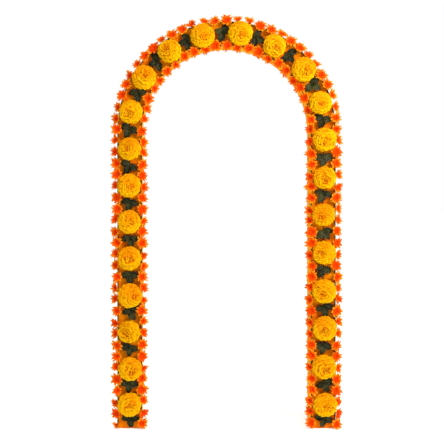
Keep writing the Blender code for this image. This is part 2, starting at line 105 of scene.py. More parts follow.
@dataclass(frozen=True)
class ArchLayout:
    """Sizes of the boxed arch and the places along it."""

    width: float = 1.120
    strip: float = 0.127
    depth: float = 0.100
    spring: float = 1.527
    board: float = 0.006
    side: float = 0.004
    seat_gap: float = 0.0003
    head_count: int = 24
    head_height: float = 0.070
    first_head: float = 0.131
    last_head: float = 0.126
    head_creep: float = 0.030

    @property
    def outer_radius(self) -> float:
        """Outer radius of the crown."""
        return self.width / 2

    @property
    def inner_radius(self) -> float:
        """Inner radius of the crown."""
        return self.outer_radius - self.strip

    @property
    def centre_radius(self) -> float:
        """Radius of the line that the heads stand on."""
        return self.outer_radius - self.strip / 2

    @property
    def front(self) -> float:
        """Y of the front face."""
        return (self.head_height - self.depth) / 2

    @property
    def back(self) -> float:
        """Y of the back face."""
        return self.front + self.depth

    def length(self, radius: float) -> float:
        """Length of the whole run at a radius, from foot to foot."""
        return 2 * self.spring + math.pi * radius

    def frame_at(self, radius: float, distance: float) -> tuple[Vector, Vector, Vector]:
        """Place on a run of the arch.

        Args:
            radius: Radius of the run's crown.
            distance: Distance along the run from the left foot.

        Returns:
            Position, direction of travel and direction away from the doorway.
        """
        arc = math.pi * radius
        if distance < self.spring:
            return Vector((-radius, 0, distance)), Vector((0, 0, 1)), Vector((-1, 0, 0))
        if distance > self.spring + arc:
            height = 2 * self.spring + arc - distance
            return Vector((radius, 0, height)), Vector((0, 0, -1)), Vector((1, 0, 0))
        angle = (distance - self.spring) / radius
        away = Vector((-math.cos(angle), 0, math.sin(angle)))
        along = Vector((math.sin(angle), 0, math.cos(angle)))
        return Vector((0, 0, self.spring)) + away * radius, along, away

    def head_distance(self, index: int) -> float:
        """Distance along the centreline to a head.

        Args:
            index: Number of the head, from 0 at the left foot.

        Returns:
            The distance; the spacing widens towards the right foot.
        """
        last = self.head_count - 1
        whole = self.length(self.centre_radius)
        pitch = (whole - self.first_head - self.last_head) / last
        creep = 4 * self.head_creep * index * (last - index) / last**2
        return self.first_head + pitch * index - creep

    def on_board(self, distance: float, sideways: float) -> Matrix:
        """Matrix that stands local +Z out of the front board, with local +Y along the arch.

        Args:
            distance: Distance along the centreline.
            sideways: Shift away from the doorway.

        Returns:
            The placing matrix.
        """
        place, along, away = self.frame_at(self.centre_radius, distance)
        spot = place + away * sideways + Vector((0, self.front - self.seat_gap, 0))
        turn = Matrix((along.cross(FORWARD), along, FORWARD)).transposed().to_4x4()
        return Matrix.Translation(spot) @ turn


@dataclass
class FineMesh:
    """Gathers closed sheets and tubes of quads, with their shading values, into one piece."""

    smooth_below: float = 48
    tiny: float = 1e-12
    count: int = 0
    points: list[np.ndarray] = field(default_factory=list)
    values: list[np.ndarray] = field(default_factory=list)
    faces: list[np.ndarray] = field(default_factory=list)
    slots: list[np.ndarray] = field(default_factory=list)

    def add(self, points: np.ndarray, values: np.ndarray, faces: np.ndarray, slot: int) -> None:
        """Gather one closed form.

        Args:
            points: Its points, one row each.
            values: Along, across and tone of each point.
            faces: Its quads, numbered within the form.
            slot: Material slot of all its faces.
        """
        self.points.append(points)
        self.values.append(values)
        self.faces.append(faces + self.count)
        self.slots.append(np.full(len(faces), slot))
        self.count += len(points)

    def add_sheet(self, grid: np.ndarray, thickness: float, tone: float) -> None:
        """Gather a thin closed sheet in the first material slot.

        Args:
            grid: Points of the middle surface, rows from root to tip.
            thickness: Thickness of the sheet.
            tone: Shade of this sheet among its neighbours, from 0 to 1.
        """
        rows, columns = grid.shape[:2]
        normal = np.cross(np.gradient(grid, axis=1), np.gradient(grid, axis=0))
        normal /= np.linalg.norm(normal, axis=2, keepdims=True) + self.tiny
        upper = (grid + normal * thickness / 2).reshape(-1, 3)
        lower = (grid - normal * thickness / 2).reshape(-1, 3)
        lines = (np.linspace(0, 1, rows), np.linspace(0, 1, columns))
        along, across = np.meshgrid(*lines, indexing="ij")
        values = np.stack([along, across, np.full_like(along, tone)], axis=2).reshape(-1, 3)
        faces = sheet_faces(rows, columns)
        self.add(np.vstack([upper, lower]), np.vstack([values, values]), faces, 0)

    def add_tube(
        self,
        path: np.ndarray,
        radii: Sequence[float],
        reference: Sequence[float],
        sides: int,
        tone: float,
        slot: int = 0,
    ) -> None:
        """Gather a capped tube.

        Args:
            path: Its centreline points.
            radii: Its radius at each point.
            reference: A direction never parallel to the path.
            sides: An even number of sides.
            tone: Shade of this tube.
            slot: Material slot.
        """
        tangent = np.gradient(path, axis=0)
        tangent /= np.linalg.norm(tangent, axis=1, keepdims=True)
        near = np.array(reference, float)
        first = near - tangent * (tangent @ near)[:, None]
        first /= np.linalg.norm(first, axis=1, keepdims=True)
        second = np.cross(tangent, first)
        angles = np.linspace(0, math.tau, sides, endpoint=False)
        ring = first[:, None] * np.cos(angles)[None, :, None]
        ring = ring + second[:, None] * np.sin(angles)[None, :, None]
        points = (path[:, None] + ring * np.asarray(radii)[:, None, None]).reshape(-1, 3)
        self.add_rings(points, len(path), sides, tone, slot)

    def add_rings(self, points: np.ndarray, rings: int, sides: int, tone: float, slot: int) -> None:
        """Gather a closed stack of rings with flat ends.

        Args:
            points: Ring after ring of points, turning anticlockwise about the way they stack.
            rings: Number of rings.
            sides: Points in a ring, an even number.
            tone: Shade of this form.
            slot: Material slot.
        """
        along = np.repeat(np.linspace(0, 1, rings), sides)
        across = np.tile(np.linspace(0, 1, sides, endpoint=False), rings)
        values = np.stack([along, across, np.full_like(along, tone)], axis=1)
        self.add(points, values, ring_faces(rings, sides), slot)

    def piece(self, name: str, place: Matrix, *finishes: Material) -> Object:
        """Make the piece.

        Args:
            name: Name of the piece.
            place: Matrix that its points are moved by.
            *finishes: Materials in the order of the slots.

        Returns:
            The new object, at the origin with its place in its mesh.
        """
        mesh = bpy.data.meshes.new(name)
        mesh.from_pydata(np.vstack(self.points).tolist(), [], np.vstack(self.faces).tolist())
        mesh.polygons.foreach_set("material_index", np.concatenate(self.slots).astype(np.int32))
        sheet = mesh.attributes.new(SHEET_VALUES, "FLOAT_VECTOR", "POINT")
        sheet.data.foreach_set("vector", np.vstack(self.values).astype(np.float32).ravel())
        mesh.transform(place)
        mesh.shade_smooth()
        mesh.set_sharp_from_angle(angle=math.radians(self.smooth_below))
        for finish in finishes:
            mesh.materials.append(finish)
        obj = bpy.data.objects.new(name, mesh)
        bpy.context.scene.collection.objects.link(obj)
        return obj


def sheet_faces(rows: int, columns: int) -> np.ndarray:
    """Quads of a closed sheet whose upper points come before its lower ones.

    Args:
        rows: Rows of points.
        columns: Points in a row.

    Returns:
        The quads, all facing outwards.
    """
    number = np.arange(rows * columns).reshape(rows, columns)
    upper = np.stack([number[:-1, :-1], number[:-1, 1:], number[1:, 1:], number[1:, :-1]], axis=2)
    upper = upper.reshape(-1, 4)
    lower = upper[:, ::-1] + number.size
    rim = [*number[0, :-1], *number[:-1, -1], *number[-1, :0:-1], *number[:0:-1, 0]]
    rim = np.array(rim)
    beside = np.roll(rim, -1)
    wall = np.stack([beside, rim, rim + number.size, beside + number.size], axis=1)
    return np.vstack([upper, lower, wall])


def ring_faces(rings: int, sides: int) -> np.ndarray:
    """Quads of a closed stack of rings.

    Args:
        rings: Number of rings.
        sides: Points in a ring, an even number.

    Returns:
        The quads, all facing outwards.
    """
    number = np.arange(rings * sides).reshape(rings, sides)
    beside = np.roll(number, -1, axis=1)
    wall = np.stack([number[:-1], beside[:-1], beside[1:], number[1:]], axis=2).reshape(-1, 4)
    cap = np.array([(k, k + 1, sides - 2 - k, sides - 1 - k) for k in range(sides // 2 - 1)])
    return np.vstack([wall, cap[:, ::-1], cap + (rings - 1) * sides])


def settle(piece: Object, slot: Slot, *nodes: str) -> None:
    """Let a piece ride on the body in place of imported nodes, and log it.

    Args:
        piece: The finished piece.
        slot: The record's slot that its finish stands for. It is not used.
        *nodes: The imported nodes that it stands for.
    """
    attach(piece, BODY)
    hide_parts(*nodes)
    faces = len(piece.data.polygons)
    LOG.info("%s stands for %s with %d faces", piece.name, ", ".join(nodes), faces)


class Graph:
    """A node tree with short ways to add and join nodes."""

    def __init__(self, tree: NodeTree) -> None:
        """Work on a tree."""
        self.tree = tree

    def node(self, kind: str, **settings: object) -> Node:
        """Add a node.

        Args:
            kind: Its type, without the leading ShaderNode.
            **settings: Properties to set on it.

        Returns:
            The new node.
        """
        made = self.tree.nodes.new(f"ShaderNode{kind}")
        for name, value in settings.items():
            setattr(made, name, value)
        return made

    def feed(self, target: NodeSocket, value: object) -> None:
        """Set a socket, or join another socket to it.

        Args:
            target: The socket.
            value: Its value, a plain colour of three numbers, or the socket that feeds it.
        """
        if isinstance(value, NodeSocket):
            self.tree.links.new(value, target)
        elif isinstance(value, tuple) and target.type == "RGBA":
            target.default_value = (*value, 1.0)
        else:
            target.default_value = value

    def mix(self, share: object, low: object, high: object) -> NodeSocket:
        """Mix two colours, by the node's colour sockets 6 and 7 and result 2.

        Args:
            share: Share of the second colour.
            low: First colour.
            high: Second colour.

        Returns:
            The mixed colour.
        """
        made = self.node("Mix", data_type="RGBA", clamp_factor=True)
        for number, value in ((0, share), (6, low), (7, high)):
            self.feed(made.inputs[number], value)
        return made.outputs[2]

    def work_out(self, operation: str, first: object, second: object = 0.0) -> NodeSocket:
        """Work out a number from one or two others.

        Args:
            operation: Name of the operation.
            first: First number.
            second: Second number.

        Returns:
            The result.
        """
        made = self.node("Math", operation=operation)
        self.feed(made.inputs[0], first)
        self.feed(made.inputs[1], second)
        return made.outputs[0]

    def spread(
        self, value: object, low: object, high: float, to_low: float, to_high: float
    ) -> NodeSocket:
        """Map a range of numbers to another, clamped and eased.

        Args:
            value: The number.
            low: Start of its range.
            high: End of its range.
            to_low: What the start becomes.
            to_high: What the end becomes.

        Returns:
            The mapped number.
        """
        made = self.node("MapRange", interpolation_type="SMOOTHSTEP")
        for socket, given in zip(made.inputs, (value, low, high, to_low, to_high)):
            self.feed(socket, given)
        return made.outputs[0]

    def noise(
        self, scale: object, detail: float, roughness: float, where: NodeSocket | None = None
    ) -> NodeSocket:
        """Add noise.

        Args:
            scale: Its scale.
            detail: Its detail.
            roughness: Its roughness.
            where: Vector to read it at, or None for metres of the part.

        Returns:
            The noise's value.
        """
        made = self.node("TexNoise")
        place = self.node("TexCoord").outputs["Object"] if where is None else where
        settings = {"Vector": place, "Scale": scale, "Detail": detail, "Roughness": roughness}
        for title, value in settings.items():
            self.feed(made.inputs[title], value)
        return made.outputs["Fac"]

    def sheet_values(self) -> Sequence[NodeSocket]:
        """Read the shading values of a FineMesh piece.

        Returns:
            Along, across and tone.
        """
        sheet = self.node("Attribute", attribute_type="GEOMETRY", attribute_name=SHEET_VALUES)
        split = self.node("SeparateXYZ")
        self.feed(split.inputs[0], sheet.outputs["Vector"])
        return split.outputs


class ShaderEffect:
    """A node group that several finishes share. It gives a colour and a height."""

    name = "effect"
    values: tuple[str, ...] = ()
    colours: tuple[str, ...] = ()

    def __init__(self) -> None:
        """Make the group's sockets and fill it."""
        self.tree = bpy.data.node_groups.new(self.name, "ShaderNodeTree")
        sockets = [("INPUT", "NodeSocketFloat", title) for title in self.values]
        sockets += [("INPUT", "NodeSocketColor", title) for title in self.colours]
        sockets.append(("OUTPUT", "NodeSocketColor", "Colour"))
        sockets.append(("OUTPUT", "NodeSocketFloat", "Height"))
        for way, kind, title in sockets:
            self.tree.interface.new_socket(name=title, in_out=way, socket_type=kind)
        graph = Graph(self.tree)
        inputs = self.tree.nodes.new("NodeGroupInput").outputs
        outputs = self.tree.nodes.new("NodeGroupOutput").inputs
        for socket, found in zip(outputs, self.fill(graph, inputs)):
            graph.feed(socket, found)

    def fill(self, graph: Graph, inputs: NodeOutputs) -> tuple[NodeSocket, NodeSocket]:
        """Add and join the group's nodes, and give its colour and its height."""
        raise NotImplementedError

    def place(self, graph: Graph, **values: object) -> tuple[NodeSocket, NodeSocket]:
        """Place the group in a material.

        Args:
            graph: The material's tree.
            **values: Its inputs by name, with spaces as underscores.

        Returns:
            The placed group's colour and height.
        """
        made = graph.node("Group", node_tree=self.tree)
        for title, value in values.items():
            graph.feed(made.inputs[title.replace("_", " ")], value)
        return made.outputs["Colour"], made.outputs["Height"]


class PetalShading(ShaderEffect):
    """Colour and creases along a petal, from its root to its rim."""

    name = "petal_shading"
    values = ("Along", "Across", "Tone", "Ribs", "Rim start")
    colours = ("Root", "Blade", "Rim", "Deep")
    root_fade = (0.22, 0.78)
    tone_fade = (0.25, 1.0)
    deepest = 0.75
    rib_fade = (0.38, 0.68)
    rib_shade = 0.40
    rib_waver = 2.0
    rib_noise = (3.0, 0.6)
    rib_shuffle = 37.0

    def fill(self, graph: Graph, inputs: NodeOutputs) -> tuple[NodeSocket, NodeSocket]:
        """Grade the petal, shade it by its tone, and rib it lengthwise.

        Args:
            graph: The group's tree.
            inputs: Sockets that bring the inputs in.

        Returns:
            The colour, and the height of the ribs.
        """
        # Petals darken towards the root: partly the petals' own colour, partly painted shade in the
        # floret's throat and where a head's tiers overlap.
        opened = graph.spread(inputs["Along"], *self.root_fade, 0, 1)
        blade = graph.mix(opened, inputs["Root"], inputs["Blade"])
        edge = graph.spread(inputs["Along"], inputs["Rim start"], 1.0, 0, 1)
        rimmed = graph.mix(edge, blade, inputs["Rim"])
        depth = graph.spread(inputs["Tone"], *self.tone_fade, 0, self.deepest)
        toned = graph.mix(depth, rimmed, inputs["Deep"])
        join = graph.node("CombineXYZ")
        steps = (("Across", inputs["Ribs"]), ("Along", self.rib_waver), ("Tone", self.rib_shuffle))
        for socket, (title, scale) in zip(join.inputs, steps):
            graph.feed(socket, graph.work_out("MULTIPLY", inputs[title], scale))
        ribs = graph.noise(1.0, *self.rib_noise, join.outputs[0])
        shade = graph.spread(ribs, *self.rib_fade, 0.0, self.rib_shade)
        return graph.mix(shade, toned, inputs["Root"]), ribs


class Mottling(ShaderEffect):
    """Slow changes of colour over a surface, with a fine grain for its bump."""

    name = "mottling"
    values = ("Patches", "Grain")
    colours = ("Low", "High")
    patch_noise = (3.0, 0.55)
    patch_fade = (0.34, 0.68)
    grain_noise = (2.0, 0.6)
    grain_fade = (0.3, 0.7)
    speckle = 0.18

    def fill(self, graph: Graph, inputs: NodeOutputs) -> tuple[NodeSocket, NodeSocket]:
        """Mix the two colours in soft patches and speckle them.

        Args:
            graph: The group's tree.
            inputs: Sockets that bring the inputs in.

        Returns:
            The colour, and the height of the grain.
        """
        patches = graph.noise(inputs["Patches"], *self.patch_noise)
        grain = graph.noise(inputs["Grain"], *self.grain_noise)
        share = graph.spread(patches, *self.patch_fade, 0, 1)
        speckles = graph.spread(grain, *self.grain_fade, -self.speckle, self.speckle)
        speckled = graph.work_out("ADD", share, speckles)
        return graph.mix(speckled, inputs["Low"], inputs["High"]), grain


@dataclass(frozen=True)
class Effects:
    """The shared shader groups."""

    petal: PetalShading
    mottling: Mottling


@dataclass(frozen=True)
class Finish:
    """A surface finish with constants for its shader. The rim colour tints its sheen."""

    name: str
    roughness: float
    bump: float
    bump_depth: float = 0.0005
    specular: float = 0.2
    sheen: float = 0.0
    rim: Triple = (1, 1, 1)

    def shade(self, graph: Graph, effects: Effects) -> tuple[NodeSocket, NodeSocket]:
        """Shade the surface, and give its colour and the height of its grain."""
        raise NotImplementedError

    def make(self, effects: Effects) -> Material:
        """Make the material.

        Args:
            effects: The shared shader groups.

        Returns:
            The material.
        """
        material = bpy.data.materials.new(self.name)
        material.use_nodes = True
        graph = Graph(material.node_tree)
        colour, height = self.shade(graph, effects)
        bump = graph.node("Bump")
        grain = {"Strength": self.bump, "Distance": self.bump_depth, "Height": height}
        for title, value in grain.items():
            graph.feed(bump.inputs[title], value)
        settings = {
            "Base Color": colour,
            "Normal": bump.outputs["Normal"],
            "Roughness": self.roughness,
            "Specular IOR Level": self.specular,
            "Sheen Weight": self.sheen,
            "Sheen Tint": self.rim,
        }
        for title, value in settings.items():
            graph.feed(material.node_tree.nodes["Principled BSDF"].inputs[title], value)
        return material


@dataclass(frozen=True, kw_only=True)
class PetalFinish(Finish):
    """Dyed petal cloth, graded from root to rim; the darker root is partly painted shade."""

    root: Triple
    blade: Triple
    deep: Triple
    ribs: float
    rim_start: float = 0.72

    def shade(self, graph: Graph, effects: Effects) -> tuple[NodeSocket, NodeSocket]:
        """Shade the petals.

        Args:
            graph: The material's tree.
            effects: The shared shader groups.

        Returns:
            Their colour, and the height of their ribs.
        """
        along, across, tone = graph.sheet_values()
        return effects.petal.place(
            graph,
            Along=along,
            Across=across,
            Tone=tone,
            Root=self.root,
            Blade=self.blade,
            Rim=self.rim,
            Deep=self.deep,
            Ribs=self.ribs,
            Rim_start=self.rim_start,
        )


@dataclass(frozen=True, kw_only=True)
class MottledFinish(Finish):
    """Painted, dyed or moulded surface with soft patches and a fine grain."""

    low: Triple
    high: Triple
    patches: float = 9.0
    grain: float = 900.0

    def shade(self, graph: Graph, effects: Effects) -> tuple[NodeSocket, NodeSocket]:
        """Shade the surface in patches.

        Args:
            graph: The material's tree.
            effects: The shared shader groups.

        Returns:
            Its colour, and the height of its grain.
        """
        return effects.mottling.place(
            graph, Low=self.low, High=self.high, Patches=self.patches, Grain=self.grain
        )


@dataclass(frozen=True, kw_only=True)
class LeafFinish(Finish):
    """Dark rose leaf with a paler midrib and side veins."""

    blade: Triple
    # Paler grey-green patches: partly the leaf's own colour, partly painted glints.
    patch_and_glint: Triple
    vein: Triple
    patches: float = 32.0
    grain: float = 1200.0
    side_veins: float = 7.0
    vein_slant: float = 5.0
    midrib_fade: Span = (0.015, 0.05)
    side_vein_width: float = 0.11
    side_vein_share: float = 0.65
    tone_fade: Span = (0.3, 1.0)
    darkest: float = 0.85
    vein_depth: float = -1.5

    def shade(self, graph: Graph, effects: Effects) -> tuple[NodeSocket, NodeSocket]:
        """Shade the leaflets and draw their veins.

        Args:
            graph: The material's tree.
            effects: The shared shader groups.

        Returns:
            Their colour, and the height of their veins and grain.
        """
        along, across, tone = graph.sheet_values()
        off_rib = graph.work_out("ABSOLUTE", graph.work_out("SUBTRACT", across, 0.5))
        midrib = graph.spread(off_rib, *self.midrib_fade, 1, 0)
        up = graph.work_out("MULTIPLY", along, self.side_veins)
        climb = graph.work_out("SUBTRACT", up, graph.work_out("MULTIPLY", off_rib, self.vein_slant))
        off_vein = graph.work_out("SUBTRACT", graph.work_out("FRACT", climb), 0.5)
        ridge = graph.work_out("ABSOLUTE", off_vein)
        side_vein = graph.spread(ridge, 0.0, self.side_vein_width, self.side_vein_share, 0)
        veins = graph.work_out("MAXIMUM", midrib, side_vein)
        mottled, grain = effects.mottling.place(
            graph, Low=self.blade, High=self.patch_and_glint, Patches=self.patches, Grain=self.grain
        )
        darkness = graph.spread(tone, *self.tone_fade, 0, self.darkest)
        toned = graph.mix(darkness, mottled, self.blade)
        sunk = graph.work_out("MULTIPLY", veins, self.vein_depth)
        return graph.mix(veins, toned, self.vein), graph.work_out("ADD", sunk, grain)


RECIPES: dict[str, Finish] = {
    "board": MottledFinish(
        "orange_painted_board", roughness=0.70, bump=0.25, bump_depth=0.0003, specular=0.03,
        low=(0.88, 0.163, 0.0), high=(0.94, 0.296, 0.0), patches=13.0,
    ),
    # Painted light: the side strips take a lighter copy of the board's orange, for the light that
    # falls on them.
    "side": MottledFinish(
        "painted_lit_orange_strip", roughness=0.65, bump=0.25, bump_depth=0.0003, specular=0.03,
        low=(0.88, 0.35, 0.002), high=(0.94, 0.45, 0.006),
    ),
    "wood": MottledFinish(
        "pale_pine_block", roughness=0.75, bump=0.5, bump_depth=0.0006,
        low=(0.45, 0.29, 0.15), high=(0.66, 0.47, 0.28), patches=30.0, grain=500.0,
    ),
    "marigold": PetalFinish(
        "golden_marigold_petal", roughness=0.75, bump=0.45, specular=0.03,
        root=(0.53, 0.08, 0.0), blade=(0.87, 0.39, 0.0),
        rim=(0.91, 0.60, 0.001), deep=(0.85, 0.23, 0.0), ribs=14.0, sheen=0.02,
    ),
    # Painted shade: the heart's dark orange stands for the shade deep between the petals.
    "core": MottledFinish(
        "dark_heart_painted_shade", roughness=0.85, bump=0.5, bump_depth=0.001, specular=0.05,
        low=(0.36, 0.07, 0.001), high=(0.52, 0.13, 0.001), patches=80.0, grain=700.0,
    ),
    "calyx": MottledFinish(
        "marigold_calyx", roughness=0.6, bump=0.4,
        low=(0.030, 0.060, 0.010), high=(0.070, 0.120, 0.022), patches=60.0,
    ),
    "leaf": LeafFinish(
        "dark_rose_leaf", roughness=0.24, bump=1.0, bump_depth=0.0012, specular=0.18,
        blade=(0.006, 0.005, 0.000), patch_and_glint=(0.066, 0.062, 0.014), vein=(0.080, 0.095, 0.016),
    ),
    "twig": MottledFinish(
        "rose_twig", roughness=0.55, bump=0.5,
        low=(0.012, 0.016, 0.003), high=(0.035, 0.060, 0.012), patches=70.0, grain=800.0,
    ),
    "stem": MottledFinish(
        "garland_wire_green", roughness=0.5, bump=0.4,
        low=(0.010, 0.018, 0.002), high=(0.050, 0.150, 0.010), patches=22.0,
    ),
    "floret": PetalFinish(
        "orange_floret_petal", roughness=0.72, bump=0.45, specular=0.03,
        root=(0.68, 0.032, 0.0), blade=(0.89, 0.115, 0.0),
        rim=(0.96, 0.43, 0.015), deep=(0.82, 0.046, 0.0), ribs=7.0, sheen=0.02,
        rim_start=0.58,
    ),
}


@dataclass(frozen=True)
class Finishes:
    """Every material of the arch."""

    board: Material
    side: Material
    wood: Material
    marigold: Material
    core: Material
    calyx: Material
    leaf: Material
    twig: Material
    stem: Material
    floret: Material


def make_finishes() -> Finishes:
    """Make the shared shader groups and then every material."""
    effects = Effects(PetalShading(), Mottling())
    return Finishes(**{use: recipe.make(effects) for use, recipe in RECIPES.items()})


@dataclass
class Neighbours:
    """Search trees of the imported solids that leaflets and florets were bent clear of."""

    plain_swell: float = 0.0005
    head_swell: float = 0.0012
    sprig_swell: float = 0.0008
    weld: float = 0.00001
    trees: dict[str, tuple[Vector, BVHTree]] = field(default_factory=dict)

    def head(self, index: int) -> tuple[Vector, BVHTree]:
        """Middle and search tree of a head."""
        return self.around(head_node(index), self.head_swell)

    def sprig(self, index: int) -> tuple[Vector, BVHTree]:
        """Middle and search tree of a leaf sprig."""
        return self.around(sprig_node(index), self.sprig_swell)

    def plain(self, node: str) -> BVHTree:
        """Search tree of a board or a garland strand."""
        return self.around(node, self.plain_swell)[1]

    def around(self, node: str, swell: float) -> tuple[Vector, BVHTree]:
        """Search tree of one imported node, pushed out a little.

        Args:
            node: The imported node.
            swell: How far its surface is pushed out.

        Returns:
            The middle of its box, and the tree.
        """
        if node not in self.trees:
            work = bmesh.new()
            work.from_mesh(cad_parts[node].data)
            bmesh.ops.remove_doubles(work, verts=work.verts, dist=self.weld)
            work.normal_update()
            points = [v.co + v.normal * swell for v in work.verts]
            faces = [tuple(v.index for v in face.verts) for face in work.faces]
            work.free()
            low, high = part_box(node)
            self.trees[node] = ((low + high) / 2, BVHTree.FromPolygons(points, faces))
        return self.trees[node]


@dataclass(frozen=True)
class Proxy:
    """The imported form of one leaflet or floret, used to find how far it was bent."""

    points: list[Vector]
    faces: list[tuple[int, ...]]
    floor_gap: float = 0.003

    def moved(self, matrix: Matrix) -> "Proxy":
        """The same form moved by a matrix."""
        return Proxy([matrix @ point for point in self.points], self.faces)

    def is_clear(self, trees: Iterable[BVHTree]) -> bool:
        """Whether the form keeps off the floor and meets no tree.

        Args:
            trees: Search trees of its neighbours.

        Returns:
            True if it is clear.
        """
        if min(point.z for point in self.points) < self.floor_gap:
            return False
        own = BVHTree.FromPolygons(self.points, self.faces)
        return not any(own.overlap(tree) for tree in trees)


@dataclass
class BoxArch:
    """The boards, side strips and blocks that carry the flowers."""

    layout: ArchLayout
    finishes: Finishes
    arc_steps: int = 96
    leg_steps: int = 12
    rounding: float = 0.0008
    smooth_below: float = 30

    def stations(self) -> list[tuple[Vector, Vector]]:
        """Stations along the arch.

        Returns:
            For each, the direction away from the doorway and the point that radii start from.
        """
        spring = Vector((0, 0, self.layout.spring))
        leg = [spring * step / self.leg_steps for step in range(self.leg_steps)]
        angles = [math.pi * step / self.arc_steps for step in range(self.arc_steps + 1)]
        found = [(Vector((-1, 0, 0)), place) for place in leg]
        found += [(Vector((-math.cos(angle), 0, math.sin(angle))), spring) for angle in angles]
        return found + [(Vector((1, 0, 0)), place) for place in reversed(leg)]

    def section(self, inner: float, outer: float, front: float, back: float) -> list[Span]:
        """Corners of a strip's section with eased edges.

        Args:
            inner: Smaller radius.
            outer: Larger radius.
            front: Y of its front.
            back: Y of its back.

        Returns:
            Radius and Y of each corner, in the order that faces outwards.
        """
        ease = self.rounding
        outside = [(outer - ease, front), (outer, front + ease), (outer, back - ease)]
        inside = [(inner + ease, back), (inner, back - ease), (inner, front + ease)]
        return [*outside, (outer - ease, back), *inside, (inner + ease, front)]

    def swept(self, name: str, section: list[Span], finish: Material) -> Object:
        """Sweep a section along the arch.

        Args:
            name: Name of the piece.
            section: Radius and Y of each corner.
            finish: Its material.

        Returns:
            The piece.
        """
        mesh = FineMesh()
        points = []
        stations = self.stations()
        for away, offset in stations:
            points += [tuple(offset + away * radius + Vector((0, y, 0))) for radius, y in section]
        mesh.add_rings(np.array(points), len(stations), len(section), PLAIN_TONE, 0)
        piece = mesh.piece(name, Matrix(), finish)
        piece.data.set_sharp_from_angle(angle=math.radians(self.smooth_below))
        return piece

    def build(self) -> None:
        """Make the four smooth strips and finish the blocks."""
        layout = self.layout
        front, back = layout.front + layout.board, layout.back - layout.board
        inside, behind = front + layout.seat_gap, back - layout.seat_gap
        inner, outer = layout.inner_radius, layout.outer_radius
        board, side = (self.finishes.board, Slot.BOARD), (self.finishes.side, Slot.SIDE)
        strips = {
            "front_board": ((inner, outer, layout.front, front), *board),
            "back_board": ((inner, outer, back, layout.back), *board),
            "outer_side_strip": ((outer - layout.side, outer, inside, behind), *side),
            "inner_side_strip": ((inner, inner + layout.side, inside, behind), *side),
        }
        for node, (sides, finish, slot) in strips.items():
            settle(self.swept(f"smooth_{node}", self.section(*sides), finish), slot, node)
        for node in ("foot_block_left", "foot_block_right", "crown_block"):
            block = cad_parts[node]
            for slot in block.material_slots:
                slot.material = self.finishes.wood
            LOG.info("%s keeps its packed shape", node)


